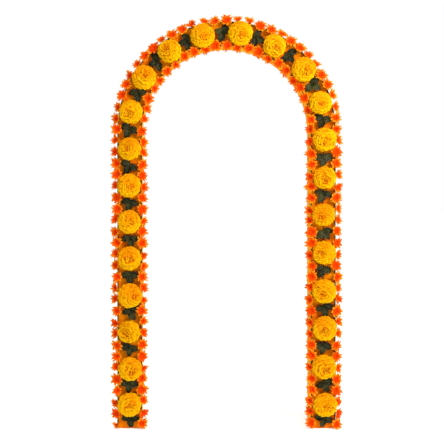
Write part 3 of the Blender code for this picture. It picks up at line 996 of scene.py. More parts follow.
@dataclass
class MarigoldHead:
    """A pompon of ruffled petal tiers over a dark heart, with a green calyx."""

    index: int
    layout: ArchLayout
    finishes: Finishes
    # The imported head
    radius: float = 0.060
    radius_spread: float = 0.05
    sway: float = 0.10
    nudge: float = 0.003
    waist_share: float = 0.42
    under_share: float = 0.70
    packed_rim_draws: int = 56
    # How it faces, and its tones from 0 to 1
    facings: tuple[Span, ...] = ((0.12, -0.06), (0.14, 0.34))
    wanders: tuple[float, ...] = (0.16, 0.22, 0.60)
    tones: Span = (0.05, 0.38)
    tone_draw: float = 0.45
    eye_tones: Span = (0.0, 0.45)
    eye_fade: float = 0.5
    # Painted shading: petals that face up take more of the deep orange.
    upward_painted_shade: float = 0.42
    craters: Span = (0.0, 0.16)
    crater_reach: float = 0.30
    fullnesses: Span = (0.85, 1.35)
    # Tiers by their angle from the eye, and petals as shares of the head's radius
    first_tier: float = 0.09
    tier_step: float = 0.20
    last_tier: float = 2.10
    tier_wander: float = 0.05
    petal_spacing: float = 0.52
    petal_stray: float = 0.18
    petal_rows: int = 6
    petal_columns: int = 10
    petal_thickness: float = 0.0005
    full_grown: float = 0.9
    petal_reach: Span = (0.15, 0.26)
    petal_breadth: Span = (0.17, 0.18)
    breadth_draw: Span = (0.85, 1.2)
    skew: float = 0.32
    waves: Span = (3.5, 6.5)
    scallop: float = 0.15
    scallop_waves: float = 0.8
    shoulder: float = 0.18
    petal_taper: Span = (0.42, 0.58)
    taper_power: float = 0.7
    lift: Span = (-0.03, 0.045)
    sunk_share: float = 0.16
    sunk: float = 0.085
    petal_depth: Span = (0.79, 0.185)
    depth_power: float = 1.1
    ruffle: Span = (0.026, 0.016)
    ruffle_power: float = 1.3
    # Heart and calyx
    lathe_sides: int = 20
    heart_share: float = 0.82
    heart_angles: Span = (-62, 88)
    heart_steps: int = 8
    calyx_ribs: float = 0.05
    calyx: tuple[Span, ...] = (
        (0.030, 0.0), (0.034, 0.003), (0.040, 0.009), (0.044, 0.015), (0.041, 0.022), (0.020, 0.026)
    )

    def __post_init__(self) -> None:
        """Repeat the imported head's draws for its place, then draw how the flower faces."""
        self.name = head_node(self.index)
        rng = draws(self.name)
        self.radius *= 1 + rng.uniform(-self.radius_spread, self.radius_spread)
        rng.uniform(0, math.tau)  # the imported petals' turn
        self.lean = np.array([rng.uniform(-self.sway, self.sway) for _ in range(2)])
        for _ in range(self.packed_rim_draws):
            rng.random()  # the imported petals' rims
        sideways = rng.uniform(-self.nudge, self.nudge)
        self.place = self.layout.on_board(self.layout.head_distance(self.index), sideways)
        self.rng = random.Random(f"{self.name} petals")
        middle = self.facings[self.index > self.layout.head_count // 2]
        wander = self.rng.choice(self.wanders)
        tilt_x = middle[0] + self.rng.uniform(-wander, wander)
        tilt_y = middle[1] + self.rng.uniform(-wander, wander)
        self.turn = np.array(Matrix.Rotation(tilt_x, 3, "Y") @ Matrix.Rotation(-tilt_y, 3, "X"))
        self.tone = self.rng.uniform(*self.tones)
        self.crater = self.rng.uniform(*self.craters)
        self.eye_tone = self.rng.uniform(*self.eye_tones)
        self.fullness = self.rng.uniform(*self.fullnesses)

    def on_dome(self, unit: np.ndarray) -> np.ndarray:
        """Lay points of a unit ball on the head's form.

        Args:
            unit: Points, with the ball's surface as the head's outside.

        Returns:
            The points in the head's own frame.
        """
        waist = self.waist_share * self.layout.head_height
        turned = unit @ self.turn.T
        up = np.where(turned[..., 2] > 0, self.layout.head_height - waist, self.under_share * waist)
        rise = waist + turned[..., 2] * up
        flat = turned[..., :2] * self.radius + self.lean * rise[..., None]
        return np.concatenate([flat, rise[..., None]], axis=-1)

    def petal(self, polar: float, bearing: float) -> np.ndarray:
        """One ruffled petal on the head's form.

        Args:
            polar: Angle of its rim from the eye.
            bearing: Its direction round the eye.

        Returns:
            Grid of points of its middle surface.
        """
        rng = self.rng
        grown = min(1.0, polar / self.full_grown)
        reach = growing(*self.petal_reach, grown)
        breadth = growing(*self.petal_breadth, grown) * rng.uniform(*self.breadth_draw)
        breadth *= self.fullness
        low, flat_out = math.cos(polar), math.sin(polar)
        facing = np.array([math.cos(bearing), math.sin(bearing), 0.0])
        centre = facing * flat_out + np.array([0, 0, low])
        outward = facing * low - np.array([0, 0, flat_out])
        beside = np.array([-math.sin(bearing), math.cos(bearing), 0.0])
        skew = rng.uniform(-self.skew, self.skew)
        outward, beside = (
            outward * math.cos(skew) + beside * math.sin(skew),
            beside * math.cos(skew) - outward * math.sin(skew),
        )
        v = np.linspace(0, 1, self.petal_rows)[:, None]
        u = np.linspace(-1, 1, self.petal_columns)[None, :]
        phase, waves = rng.uniform(0, math.tau), rng.uniform(*self.waves)
        scallop = self.scallop * np.sin(self.scallop_waves * waves * u + phase) ** 2
        scallop = scallop + self.shoulder * u**4
        along = -reach * (1 - v * (1 - v**2 * scallop))
        half = breadth * growing(*self.petal_taper, v**self.taper_power)
        flat = centre + outward * along[..., None] + beside * (u * half)[..., None]
        direction = flat / np.linalg.norm(flat, axis=2, keepdims=True)
        lift = rng.uniform(*self.lift) * v**3
        sunk = self.sunk * (rng.random() < self.sunk_share)
        depth = growing(*self.petal_depth, v**self.depth_power) + lift - sunk
        ruffle = growing(*self.ruffle, grown) * v**self.ruffle_power * np.sin(waves * u + phase)
        crater = self.crater * math.exp(-((polar / self.crater_reach) ** 2))
        return self.on_dome(direction * (depth + ruffle - crater)[..., None])

    def lathe(self, mesh: FineMesh, profile: Sequence[Span], ribs: float, slot: int) -> None:
        """Turn a profile round the head's axis.

        Args:
            mesh: Where the form goes.
            profile: Reach and rise, from the bottom up.
            ribs: Depth of the ribs round it.
            slot: Material slot.
        """
        turned = []
        for reach, rise in profile:
            for side in range(self.lathe_sides):
                angle = math.tau * side / self.lathe_sides
                out = reach * (1 + ribs * (side % 2))
                turned.append((out * math.cos(angle), out * math.sin(angle), rise))
        points = np.array(turned)
        points[:, :2] += self.lean * points[:, 2:]
        mesh.add_rings(points, len(profile), self.lathe_sides, self.tone, slot)

    def heart(self) -> list[Span]:
        """Profile of the dark heart that closes the gaps between petals; its darkness is painted
        shade in those gaps.

        Returns:
            Reach and rise, from the bottom up.
        """
        waist = self.waist_share * self.layout.head_height
        lowest, highest = self.heart_angles
        profile = []
        for step in range(self.heart_steps + 1):
            angle = math.radians(lowest + (highest - lowest) * step / self.heart_steps)
            up = self.layout.head_height - waist if angle > 0 else self.under_share * waist
            rise = waist + up * self.heart_share * math.sin(angle)
            profile.append((self.radius * self.heart_share * math.cos(angle), rise))
        return profile

    def build(self) -> None:
        """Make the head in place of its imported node."""
        mesh = FineMesh()
        up = np.array(self.place.to_3x3().inverted() @ Vector((0, 0, 1)))
        spacing = self.petal_spacing * self.fullness
        polar = self.first_tier
        while polar < self.last_tier:
            count = max(3, round(math.tau * math.sin(min(polar, math.pi / 2)) / spacing))
            start = self.rng.uniform(0, math.tau)
            for number in range(count):
                stray = self.rng.uniform(-self.petal_stray, self.petal_stray)
                bearing = start + math.tau * (number + stray) / count
                wander = self.rng.uniform(-self.tier_wander, self.tier_wander)
                grid = self.petal(polar + wander, bearing)
                heart = max(0.0, self.eye_tone - self.eye_fade * polar)
                # Painted shading: petals that face up take more of the deep orange, those that face
                # down less.
                climb = self.upward_painted_shade * float(grid[-1].mean(axis=0) @ up) / self.radius
                tone = self.tone + heart + climb + self.rng.uniform(0, self.tone_draw)
                mesh.add_sheet(grid, self.petal_thickness, min(1.0, max(0.0, tone)))
            polar += self.tier_step
        self.lathe(mesh, self.heart(), 0.0, 1)
        self.lathe(mesh, self.calyx, self.calyx_ribs, 2)
        finishes = (self.finishes.marigold, self.finishes.core, self.finishes.calyx)
        piece = mesh.piece(f"marigold_{self.name}", self.place, *finishes)
        settle(piece, Slot.HEADS, self.name)


@dataclass
class RoseSprig:
    """A short twig below a head, with up to three veined rose leaflets."""

    index: int
    layout: ArchLayout
    finishes: Finishes
    neighbours: Neighbours
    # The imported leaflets
    leaf_length: float = 0.052
    leaf_width: float = 0.036
    packed_thickness: float = 0.0009
    outline: tuple[Span, ...] = ((0.34, 0.50), (0.55, 0.36), (0.68, 0.41))
    arch: float = 0.15
    levelling: float = 0.6
    stagger: float = 0.006
    sizes: Span = (0.88, 1.08)
    headings: tuple[tuple[float, ...], ...] = (
        (-74, 66, -8), (-62, 84, 14), (-88, 58, -30), (-58, 102, 40)
    )
    heading_spread: float = 8
    pitches: tuple[float, ...] = (24, 30, 48)
    pitch_spread: float = 4
    tries: int = 14
    shrink: float = 0.05
    drop: float = 1.5
    setback: float = 0.020
    # The fine leaflets
    thickness: float = 0.0006
    rows: int = 19
    columns: int = 9
    folds: Span = (0.18, 0.38)
    twist: float = 0.25
    blunt_ends: float = 0.03
    roundness: Span = (0.86, 0.72)
    teeth: Span = (-0.0003, 0.0011)
    tooth_slant: float = 0.035
    toothless_rows: int = 2
    quilting: float = 0.0010
    side_veins: float = 7
    vein_slant: float = 2.5
    rib_drop: float = 0.0006
    rib_radii: Span = (0.0011, 0.0004)
    rib_sides: int = 6
    rib_short: int = 3
    # The twig
    twig_radius: float = 0.0022
    twig_rise: float = 0.008
    twig_reach: float = 0.039
    twig_taper: float = 0.85
    twig_bow: float = 0.9
    twig_wave: float = 0.0008
    twig_waves: float = 4
    twig_points: int = 11
    twig_sides: int = 8
    floor_gap: float = 0.003

    def span(self) -> Span:
        """Where the twig starts and ends along the arch."""
        layout = self.layout
        start, end = self.floor_gap, layout.length(layout.centre_radius) - self.floor_gap
        if self.index > 0:
            start = layout.head_distance(self.index - 1) + self.twig_reach
        if self.index < layout.head_count:
            end = layout.head_distance(self.index) - self.twig_reach
        return start, end

    def raised(self, x: float, y: float, length: float, pitch: float) -> Vector:
        """A point of the climbing blade.

        Args:
            x: Share of the blade's length.
            y: Distance from its midrib.
            length: Length of the blade.
            pitch: Its climb at the root.

        Returns:
            The point.
        """
        angle = pitch * (1 - self.levelling * x)
        rise = length * x * (math.sin(angle) - self.arch * x)
        return Vector((length * x * math.cos(angle), y, rise))

    def packed_leaflet(self, size: float, pitch: float) -> Proxy:
        """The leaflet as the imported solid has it.

        Args:
            size: Its size.
            pitch: Its climb.

        Returns:
            The plain form.
        """
        length, width = self.leaf_length * size, self.leaf_width * size
        right = [(x, -share * width) for x, share in self.outline]
        left = [(x, share * width) for x, share in reversed(self.outline)]
        upper = [self.raised(x, y, length, pitch) for x, y in [(0, 0), *right, (1, 0), *left]]
        lower = [point - Vector((0, 0, self.packed_thickness)) for point in upper]
        count, tip = len(upper), len(right) + 1
        blade = [(0, 1, count - 1), (tip - 1, tip, tip + 1)]
        blade.extend((i, i + 1, count - 1 - i, count - i) for i in range(1, tip - 1))
        faces = blade + [tuple(corner + count for corner in reversed(face)) for face in blade]
        for i in range(count):
            j = (i + 1) % count
            faces.extend([(i, i + count, j + count), (i, j + count, j)])
        return Proxy(upper + lower, faces)

    def fine_leaflet(self, size: float, pitch: float, rng: random.Random) -> np.ndarray:
        """The leaflet with its real outline, teeth, fold and quilting.

        Args:
            size: Its size.
            pitch: Its climb.
            rng: Draws of its small differences.

        Returns:
            Grid of points of its middle surface.
        """
        length, width = self.leaf_length * size, self.leaf_width * size
        fold = rng.uniform(*self.folds)
        twist = rng.uniform(-self.twist, self.twist)
        stalk, tip = self.roundness
        grid = np.zeros((self.rows, self.columns, 3))
        for row in range(self.rows):
            x = row / (self.rows - 1)
            place = min(1.0, self.blunt_ends + (1 - self.blunt_ends) * x)
            half = 0.5 * width * (math.sin(math.pi * place**stalk) ** tip + self.blunt_ends)
            for column in range(self.columns):
                u = 2 * column / (self.columns - 1) - 1
                edge = abs(u) == 1 and self.toothless_rows < row < self.rows - 1
                y = u * (half + (self.teeth[row % 2] if edge else 0))
                shift = self.tooth_slant * (row % 2) if edge else 0.0
                point = self.raised(min(1.0, x + shift), y, length, pitch)
                wave = math.cos(math.tau * (self.side_veins * x - self.vein_slant * abs(u)))
                quilt = self.quilting * wave * math.sin(math.pi * abs(u))
                point.z += fold * abs(y) + quilt + twist * y * x
                grid[row, column] = point
        return grid

    def leaflets(self, mesh: FineMesh, half: float, hanging: int, matrix: Matrix) -> None:
        """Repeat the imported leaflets' places and put the fine ones there.

        Args:
            mesh: Where the leaflets go.
            half: Half the twig's length.
            hanging: 1 where they hang along the arch, -1 where against it.
            matrix: Place of the twig's middle.
        """
        rng = draws(sprig_node(self.index))
        fine = random.Random(f"sprig {self.index} fine")
        near = [self.neighbours.plain("front_board")]
        for head in range(max(0, self.index - 1), min(self.index + 1, self.layout.head_count)):
            near.append(self.neighbours.head(head)[1])
        node = -min(self.setback, half / 2)
        for number, heading in enumerate(rng.choice(self.headings)):
            root = node + self.stagger * number
            rise = self.twig_radius + (self.twig_rise - self.twig_radius) * (1 - abs(root) / half)
            turned = math.radians(heading + rng.uniform(-self.heading_spread, self.heading_spread))
            pitch = self.pitches[number] + rng.uniform(-self.pitch_spread, self.pitch_spread)
            size = rng.uniform(*self.sizes)
            direction = math.atan2(hanging * math.cos(turned), math.sin(turned))
            seat = Matrix.Translation((0, hanging * root, rise))
            seat = seat @ Matrix.Rotation(direction, 4, "Z")
            for attempt in range(self.tries):
                shrunk = size * (1 - self.shrink * attempt)
                lowered = math.radians(pitch - self.drop * attempt)
                packed = self.packed_leaflet(shrunk, lowered).moved(matrix @ seat)
                if packed.is_clear(near):
                    grid = self.fine_leaflet(shrunk, lowered, fine)
                    mesh.add_sheet(laid(grid, seat), self.thickness, fine.random())
                    middle = grid[: self.rows - self.rib_short, self.columns // 2]
                    rib = laid(middle - np.array([0, 0, self.rib_drop]), seat)
                    radii = np.linspace(*self.rib_radii, len(rib))
                    mesh.add_tube(rib, radii, (0, 0, 1), self.rib_sides, PLAIN_TONE, 1)
                    break

    def build(self) -> None:
        """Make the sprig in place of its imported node."""
        start, end = self.span()
        half = (end - start) / 2
        matrix = self.layout.on_board(start + half, 0)
        hanging = -1 if self.index <= self.layout.head_count // 2 else 1
        mesh = FineMesh()
        self.leaflets(mesh, half, hanging, matrix)
        steps = np.linspace(-1, 1, self.twig_points)
        bow = (1 - np.abs(steps)) ** self.twig_bow
        rise = self.twig_radius + (self.twig_rise - self.twig_radius) * bow
        wave = self.twig_wave * np.sin(self.twig_waves * steps)
        path = np.stack([wave, half * steps, rise], axis=1)
        radii = np.linspace(1.0, self.twig_taper, self.twig_points) * self.twig_radius
        mesh.add_tube(path, radii, (1, 0, 0), self.twig_sides, PLAIN_TONE, 1)
        node = sprig_node(self.index)
        piece = mesh.piece(f"rose_{node}", matrix, self.finishes.leaf, self.finishes.twig)
        settle(piece, Slot.LEAVES, node)


@dataclass(frozen=True)
class Strand:
    """One strand of a garland: the florets it carries, and where its stem starts and ends."""

    node: str
    numbers: range
    start: float
    end: float


@dataclass(frozen=True)
class Edge:
    """One front edge of the arch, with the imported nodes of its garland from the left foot."""

    layout: ArchLayout
    nodes: tuple[str, ...]
    radius: float
    outwards: int
    first_floret: float
    pitch: float = 0.058
    end_gap: float = 0.001

    @property
    def length(self) -> float:
        """Length of the whole edge, from the left foot to the right foot."""
        return self.layout.length(self.radius)

    def floret_distance(self, number: float) -> float:
        """Distance to a floret; they are even, with number 0 at the left foot."""
        run = self.length / 2 - self.first_floret
        return self.first_floret + number * run / round(run / self.pitch)

    def strands(self) -> list[Strand]:
        """The strands along the edge.

        Returns:
            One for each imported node; of three, two fill the legs and one the crown.
        """
        count = 1 + 2 * round((self.length / 2 - self.first_floret) / self.pitch)
        in_leg = sum(self.floret_distance(number) < self.layout.spring for number in range(count))
        firsts = [0, in_leg, count - in_leg][: len(self.nodes)]
        found = []
        for node, first, past in zip(self.nodes, firsts, [*firsts[1:], count]):
            start, end = self.layout.seat_gap, self.length - self.layout.seat_gap
            if first > 0:
                start = self.floret_distance(first - 0.5) + self.end_gap
            if past < count:
                end = self.floret_distance(past - 0.5) - self.end_gap
            found.append(Strand(node, range(first, past), start, end))
        return found


@dataclass
class SettledFloret:
    """Where one packed floret stands and how it is opened."""

    matrix: Matrix
    size: float
    opening: float
    petals: int
    turn: float
    reaches: list[float]


@dataclass
class FloretStrand:
    """A strand of an edge garland: a green stem strung with petalled florets."""

    strand: Strand
    edge: Edge
    layout: ArchLayout
    finishes: Finishes
    neighbours: Neighbours
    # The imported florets
    stem_radius: float = 0.003
    neck_length: float = 0.009
    neck_radius: float = 0.0022
    root_depth: float = 0.0015
    collar_share: float = 0.6
    eye_share: float = 0.35
    petal_length: float = 0.029
    petal_sizes: Span = (0.9, 1.0)
    notch_share: float = 0.56
    tip_half_angle: float = math.radians(21)
    fewest_petals: int = 4
    five_petalled: float = 0.30
    opening_free: Span = (58, 74)
    opening_by_head: Span = (46, 56)
    lean_free: Span = (4, 30)
    lean_by_head: Span = (38, 50)
    lean_limit: float = 86
    size_spread: float = 0.07
    swing: float = 34
    tries: int = 14
    shrink: float = 0.03
    closing: float = 2
    leaning: float = 4
    beside_head: float = 0.048
    neighbour_reach: float = 0.25
    # The fine petals, in an outer and an inner whorl
    petal_rows: int = 6
    petal_columns: int = 9
    petal_overlap: float = 1.30
    overlap_draw: Span = (0.94, 1.08)
    petal_growth: float = 1.18
    side_growth: float = 0.16
    inward_loss: float = 0.20
    inward_spread: float = 0.75
    inner_growth: Span = (0.78, 1.02)
    inner_stray: float = 0.2
    inner_closing: Span = (0.14, 0.34)
    petal_thickness: float = 0.0005
    petal_taper: Span = (0.34, 0.66)
    tip_share: float = 0.48
    tip_loss: float = 0.12
    tip_power: float = 1.3
    bends: Span = (0.20, 0.48)
    straight_at: float = 0.6
    clefts: Span = (0.34, 0.56)
    cleft_stray: float = 0.12
    cleft_width: float = 0.24
    shoulders: Span = (0.24, 0.48)
    shoulder_power: float = 3.5
    dent_power: float = 2.5
    slant: float = 0.10
    throat: float = 0.0016
    root_share: float = 0.9
    ripple: float = 0.0014
    ripple_waves: Span = (3.4, 5.5)
    ripple_power: float = 1.5
    cupping: Span = (1, -0.7)
    cup_share: float = 0.25
    tone_draw: float = 0.45
    outer_tones: Span = (0, 0.4)
    inner_tones: Span = (0.1, 0.6)
    # The neck and the stem
    neck_top: float = 1.15
    neck_radii: tuple[float, ...] = (0.0020, 0.0026, 0.0034, 0.0040, 0.0038, 0.0022)
    neck_tone: float = 0.95
    sleeve_radii: tuple[float, ...] = (0.0026, 0.0030, 0.0025)
    neck_sides: int = 6
    floor_gap: float = 0.0012
    stem_step: float = 0.025
    stem_sides: int = 8
    stem_share: float = 0.95

    @property
    def stem_y(self) -> float:
        """Y of the stem's middle."""
        return self.layout.front - self.layout.seat_gap - self.stem_radius

    def stem_point(self, distance: float) -> Vector:
        """A point of the line that the stem follows."""
        return self.layout.frame_at(self.edge.radius, distance)[0] + Vector((0, self.stem_y, 0))

    def is_beside_head(self, distance: float) -> bool:
        """Whether a point of the edge lies beside a head.

        Args:
            distance: Distance along the edge.

        Returns:
            True beside a head, False between two.
        """
        arc = min(max(distance - self.layout.spring, 0), math.pi * self.edge.radius)
        centre = distance + arc * (self.layout.centre_radius / self.edge.radius - 1)
        heads = (self.layout.head_distance(i) for i in range(self.layout.head_count))
        return any(abs(centre - head) < self.beside_head for head in heads)

    def packed_floret(
        self, rng: random.Random, size: float, opening: float
    ) -> tuple[Proxy, SettledFloret]:
        """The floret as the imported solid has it.

        Args:
            rng: Its draws.
            size: Its size.
            opening: Angle of its cup.

        Returns:
            The plain form, and the draws that shape it.
        """
        petals = self.fewest_petals + (rng.random() < self.five_petalled)
        turn = rng.uniform(0, math.tau)
        neck_top = self.neck_length * size
        length = self.petal_length * size
        notch = self.notch_share * length
        step = math.tau / petals

        def rim_point(reach: float, angle: float) -> Vector:
            """A point of the cup's rim.

            Args:
                reach: Its distance from the cup's root.
                angle: Its direction round the cup.

            Returns:
                The point.
            """
            out = reach * math.sin(opening)
            rise = neck_top + reach * math.cos(opening)
            return Vector((out * math.cos(angle), out * math.sin(angle), rise))

        points, reaches = [], []
        for petal in range(petals):
            middle = turn + step * petal
            reaches.append(rng.uniform(*self.petal_sizes))
            points.append(rim_point(notch, middle - step / 2))
            points.append(rim_point(length * reaches[-1], middle - self.tip_half_angle))
            points.append(rim_point(length * reaches[-1], middle + self.tip_half_angle))
        eye = len(points)
        points.append(Vector((0, 0, neck_top + self.eye_share * notch * math.cos(opening))))
        for corner in range(3):
            angle = turn - step / 2 + math.tau * (corner + 0.5) / 3
            across = Vector((math.cos(angle), math.sin(angle), 0)) * self.neck_radius
            points.append(across + Vector((0, 0, self.collar_share * neck_top)))
        points.append(Vector((0, 0, -self.root_depth)))
        collar, root = eye + 1, eye + 4
        faces = [(collar + corner, root, collar + (corner + 1) % 3) for corner in range(3)]
        for i in range(eye):
            j = (i + 1) % eye
            under, next_under = collar + 3 * i // eye, collar + 3 * j // eye
            faces.extend([(i, j, eye), (j, i, under)])
            if under != next_under:
                faces.append((j, under, next_under))
        return Proxy(points, faces), SettledFloret(Matrix(), size, opening, petals, turn, reaches)

    def settled(
        self, rng: random.Random, matrix: Matrix, beside: bool, near: list[BVHTree]
    ) -> SettledFloret | None:
        """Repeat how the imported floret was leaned, closed and shrunk until clear.

        Args:
            rng: The strand's draws.
            matrix: Place on the stem.
            beside: Whether it stands beside a head.
            near: Search trees of its neighbours.

        Returns:
            The settled floret, or None where none fits.
        """
        lean = rng.uniform(*(self.lean_by_head if beside else self.lean_free))
        opening = rng.uniform(*(self.opening_by_head if beside else self.opening_free))
        swing = Matrix.Rotation(math.radians(rng.uniform(-self.swing, self.swing)), 4, "Z")
        size = 1 + rng.uniform(-self.size_spread, self.size_spread)
        state = rng.getstate()
        for attempt in range(self.tries):
            rng.setstate(state)
            cup = math.radians(opening - self.closing * attempt)
            proxy, floret = self.packed_floret(rng, size * (1 - self.shrink * attempt), cup)
            flare = math.atan2(math.sin(cup), self.neck_length / self.petal_length + math.cos(cup))
            tilt = min(lean + self.leaning * attempt, self.lean_limit - math.degrees(flare))
            floret.matrix = matrix @ swing @ Matrix.Rotation(math.radians(tilt), 4, "Y")
            if proxy.moved(floret.matrix).is_clear(near):
                return floret
        return None

    def florets(self, standing: list[Strand]) -> list[SettledFloret]:
        """Settle every floret of this strand.

        Args:
            standing: Strands of the same edge that stand already.

        Returns:
            The settled florets.
        """
        layout, edge, neighbours = self.layout, self.edge, self.neighbours
        rng = draws(self.strand.node)
        board = neighbours.plain("front_board")
        around = [neighbours.head(index) for index in range(layout.head_count)]
        around += [neighbours.sprig(index) for index in range(layout.head_count + 1)]
        around += [(self.stem_point(other.end), neighbours.plain(other.node)) for other in standing]
        found = []
        reach = self.neighbour_reach
        for number in self.strand.numbers:
            distance = edge.floret_distance(number)
            _, _, away = layout.frame_at(edge.radius, distance)
            outward = away * edge.outwards
            turn = Matrix((outward, FORWARD.cross(outward), FORWARD)).transposed().to_4x4()
            spot = self.stem_point(distance)
            near = [tree for middle, tree in around if (middle - spot).length < reach]
            matrix = Matrix.Translation(spot) @ turn
            floret = self.settled(rng, matrix, self.is_beside_head(distance), [board, *near])
            if floret:
                found.append(floret)
        return found

    def petal(
        self,
        floret: SettledFloret,
        bearing: float,
        length: float,
        opening: float,
        rng: random.Random,
    ) -> np.ndarray:
        """One blunt petal of a floret.

        Args:
            floret: The floret.
            bearing: The petal's direction round the cup.
            length: Its length.
            opening: Angle between its line and the floret's axis.
            rng: Draws of its small differences.

        Returns:
            Grid of points of its middle surface, in the part's frame.
        """
        v = np.linspace(0, 1, self.petal_rows)[:, None] * np.ones(self.petal_columns)
        u = np.linspace(-1, 1, self.petal_columns)[None, :] * np.ones((self.petal_rows, 1))
        notch = self.notch_share * self.petal_length * floret.size
        share = self.petal_overlap * rng.uniform(*self.overlap_draw) / floret.petals
        width = math.tau * notch * math.sin(floret.opening) * share
        swell = np.sin(np.clip(v / self.notch_share, 0, 1) * math.pi / 2)
        tip = np.clip((v - (1 - self.tip_share)) / self.tip_share, 0, 1)
        taper = growing(*self.petal_taper, swell) * (1 - self.tip_loss * tip**self.tip_power)
        bend = opening + rng.uniform(*self.bends) * (v - self.straight_at)
        deep = rng.uniform(*self.clefts)
        beside_cleft = u - rng.uniform(-self.cleft_stray, self.cleft_stray)
        dent = deep * np.exp(-((beside_cleft / self.cleft_width) ** 2))
        dent = dent + rng.uniform(*self.shoulders) * np.abs(u) ** self.shoulder_power
        dent = dent + rng.uniform(-self.slant, self.slant) * u
        run = length * (v - dent * v**self.dent_power)
        out = run * np.sin(bend) + self.throat
        rise = self.neck_length * floret.size * self.root_share + run * np.cos(bend)
        beside = u * taper * width / 2
        wave = np.sin(rng.uniform(*self.ripple_waves) * u + rng.uniform(0, math.tau))
        cup = self.cup_share * np.abs(beside) * growing(*self.cupping, v)
        cup = cup + self.ripple * v**self.ripple_power * wave
        rise = rise + cup * math.sin(opening)
        out = out - cup * math.cos(opening)
        x = out * math.cos(bearing) - beside * math.sin(bearing)
        y = out * math.sin(bearing) + beside * math.cos(bearing)
        grid = laid(np.stack([x, y, rise], axis=2), floret.matrix)
        grid[..., 2] = np.maximum(grid[..., 2], self.floor_gap)
        return grid

    def add_floret(self, mesh: FineMesh, floret: SettledFloret, rng: random.Random) -> None:
        """Put one floret in the garland's mesh.

        Args:
            mesh: Where it goes.
            floret: The settled floret.
            rng: Draws of its small differences.
        """
        step = math.tau / floret.petals
        length = self.petal_length * floret.size
        tone = rng.uniform(0, self.tone_draw)
        lean = floret.matrix.col[2].to_3d().angle(FORWARD)
        for petal, reach in enumerate(floret.reaches):
            bearing = floret.turn + step * petal
            growth = self.petal_growth + self.side_growth * abs(math.sin(bearing))
            growth -= self.inward_loss * max(0, -math.cos(bearing))
            grid = self.petal(floret, bearing, length * reach * growth, floret.opening, rng)
            shade = min(1, tone + rng.uniform(*self.outer_tones))
            mesh.add_sheet(grid, self.petal_thickness, shade)
        for petal in range(floret.petals):
            stray = rng.uniform(-self.inner_stray, self.inner_stray)
            bearing = floret.turn + step * (petal + 0.5) + stray
            growth = rng.uniform(*self.inner_growth) + self.side_growth * abs(math.sin(bearing))
            inward = self.inward_spread * lean * max(0, -math.cos(bearing))
            opening = floret.opening - rng.uniform(*self.inner_closing) + inward
            grid = self.petal(floret, bearing, length * growth, opening, rng)
            # The inner whorl takes deeper tones: partly the floret's own colour, partly painted
            # shade in its throat.
            shade = min(1, tone + rng.uniform(*self.inner_tones))
            mesh.add_sheet(grid, self.petal_thickness, shade)
        top = self.neck_length * floret.size * self.neck_top
        heights = np.linspace(-self.root_depth, top, len(self.neck_radii))
        neck = laid(np.array([[0, 0, height] for height in heights]), floret.matrix)
        side = floret.matrix.col[0].to_3d()
        mesh.add_tube(neck, self.neck_radii, side, self.neck_sides, self.neck_tone)
        sleeve = neck[: len(self.sleeve_radii)]
        mesh.add_tube(sleeve, self.sleeve_radii, side, self.neck_sides, PLAIN_TONE, 1)

    def build(self, standing: list[Strand]) -> None:
        """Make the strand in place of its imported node.

        Args:
            standing: Strands of the same edge that stand already.
        """
        mesh = FineMesh()
        rng = random.Random(f"{self.strand.node} fine")
        florets = self.florets(standing)
        for floret in florets:
            self.add_floret(mesh, floret, rng)
        start, end = self.strand.start, self.strand.end
        count = max(2, round((end - start) / self.stem_step))
        distances = np.linspace(start, end, count + 1)
        path = np.array([self.stem_point(float(distance)) for distance in distances])
        radii = np.full(len(path), self.stem_radius * self.stem_share)
        mesh.add_tube(path, radii, (0, 1, 0), self.stem_sides, PLAIN_TONE, 1)
        name = f"floret_{self.strand.node}"
        piece = mesh.piece(name, Matrix(), self.finishes.floret, self.finishes.stem)
        settle(piece, Slot.FLORETS, self.strand.node)
        LOG.info("%s carries %d florets", piece.name, len(florets))


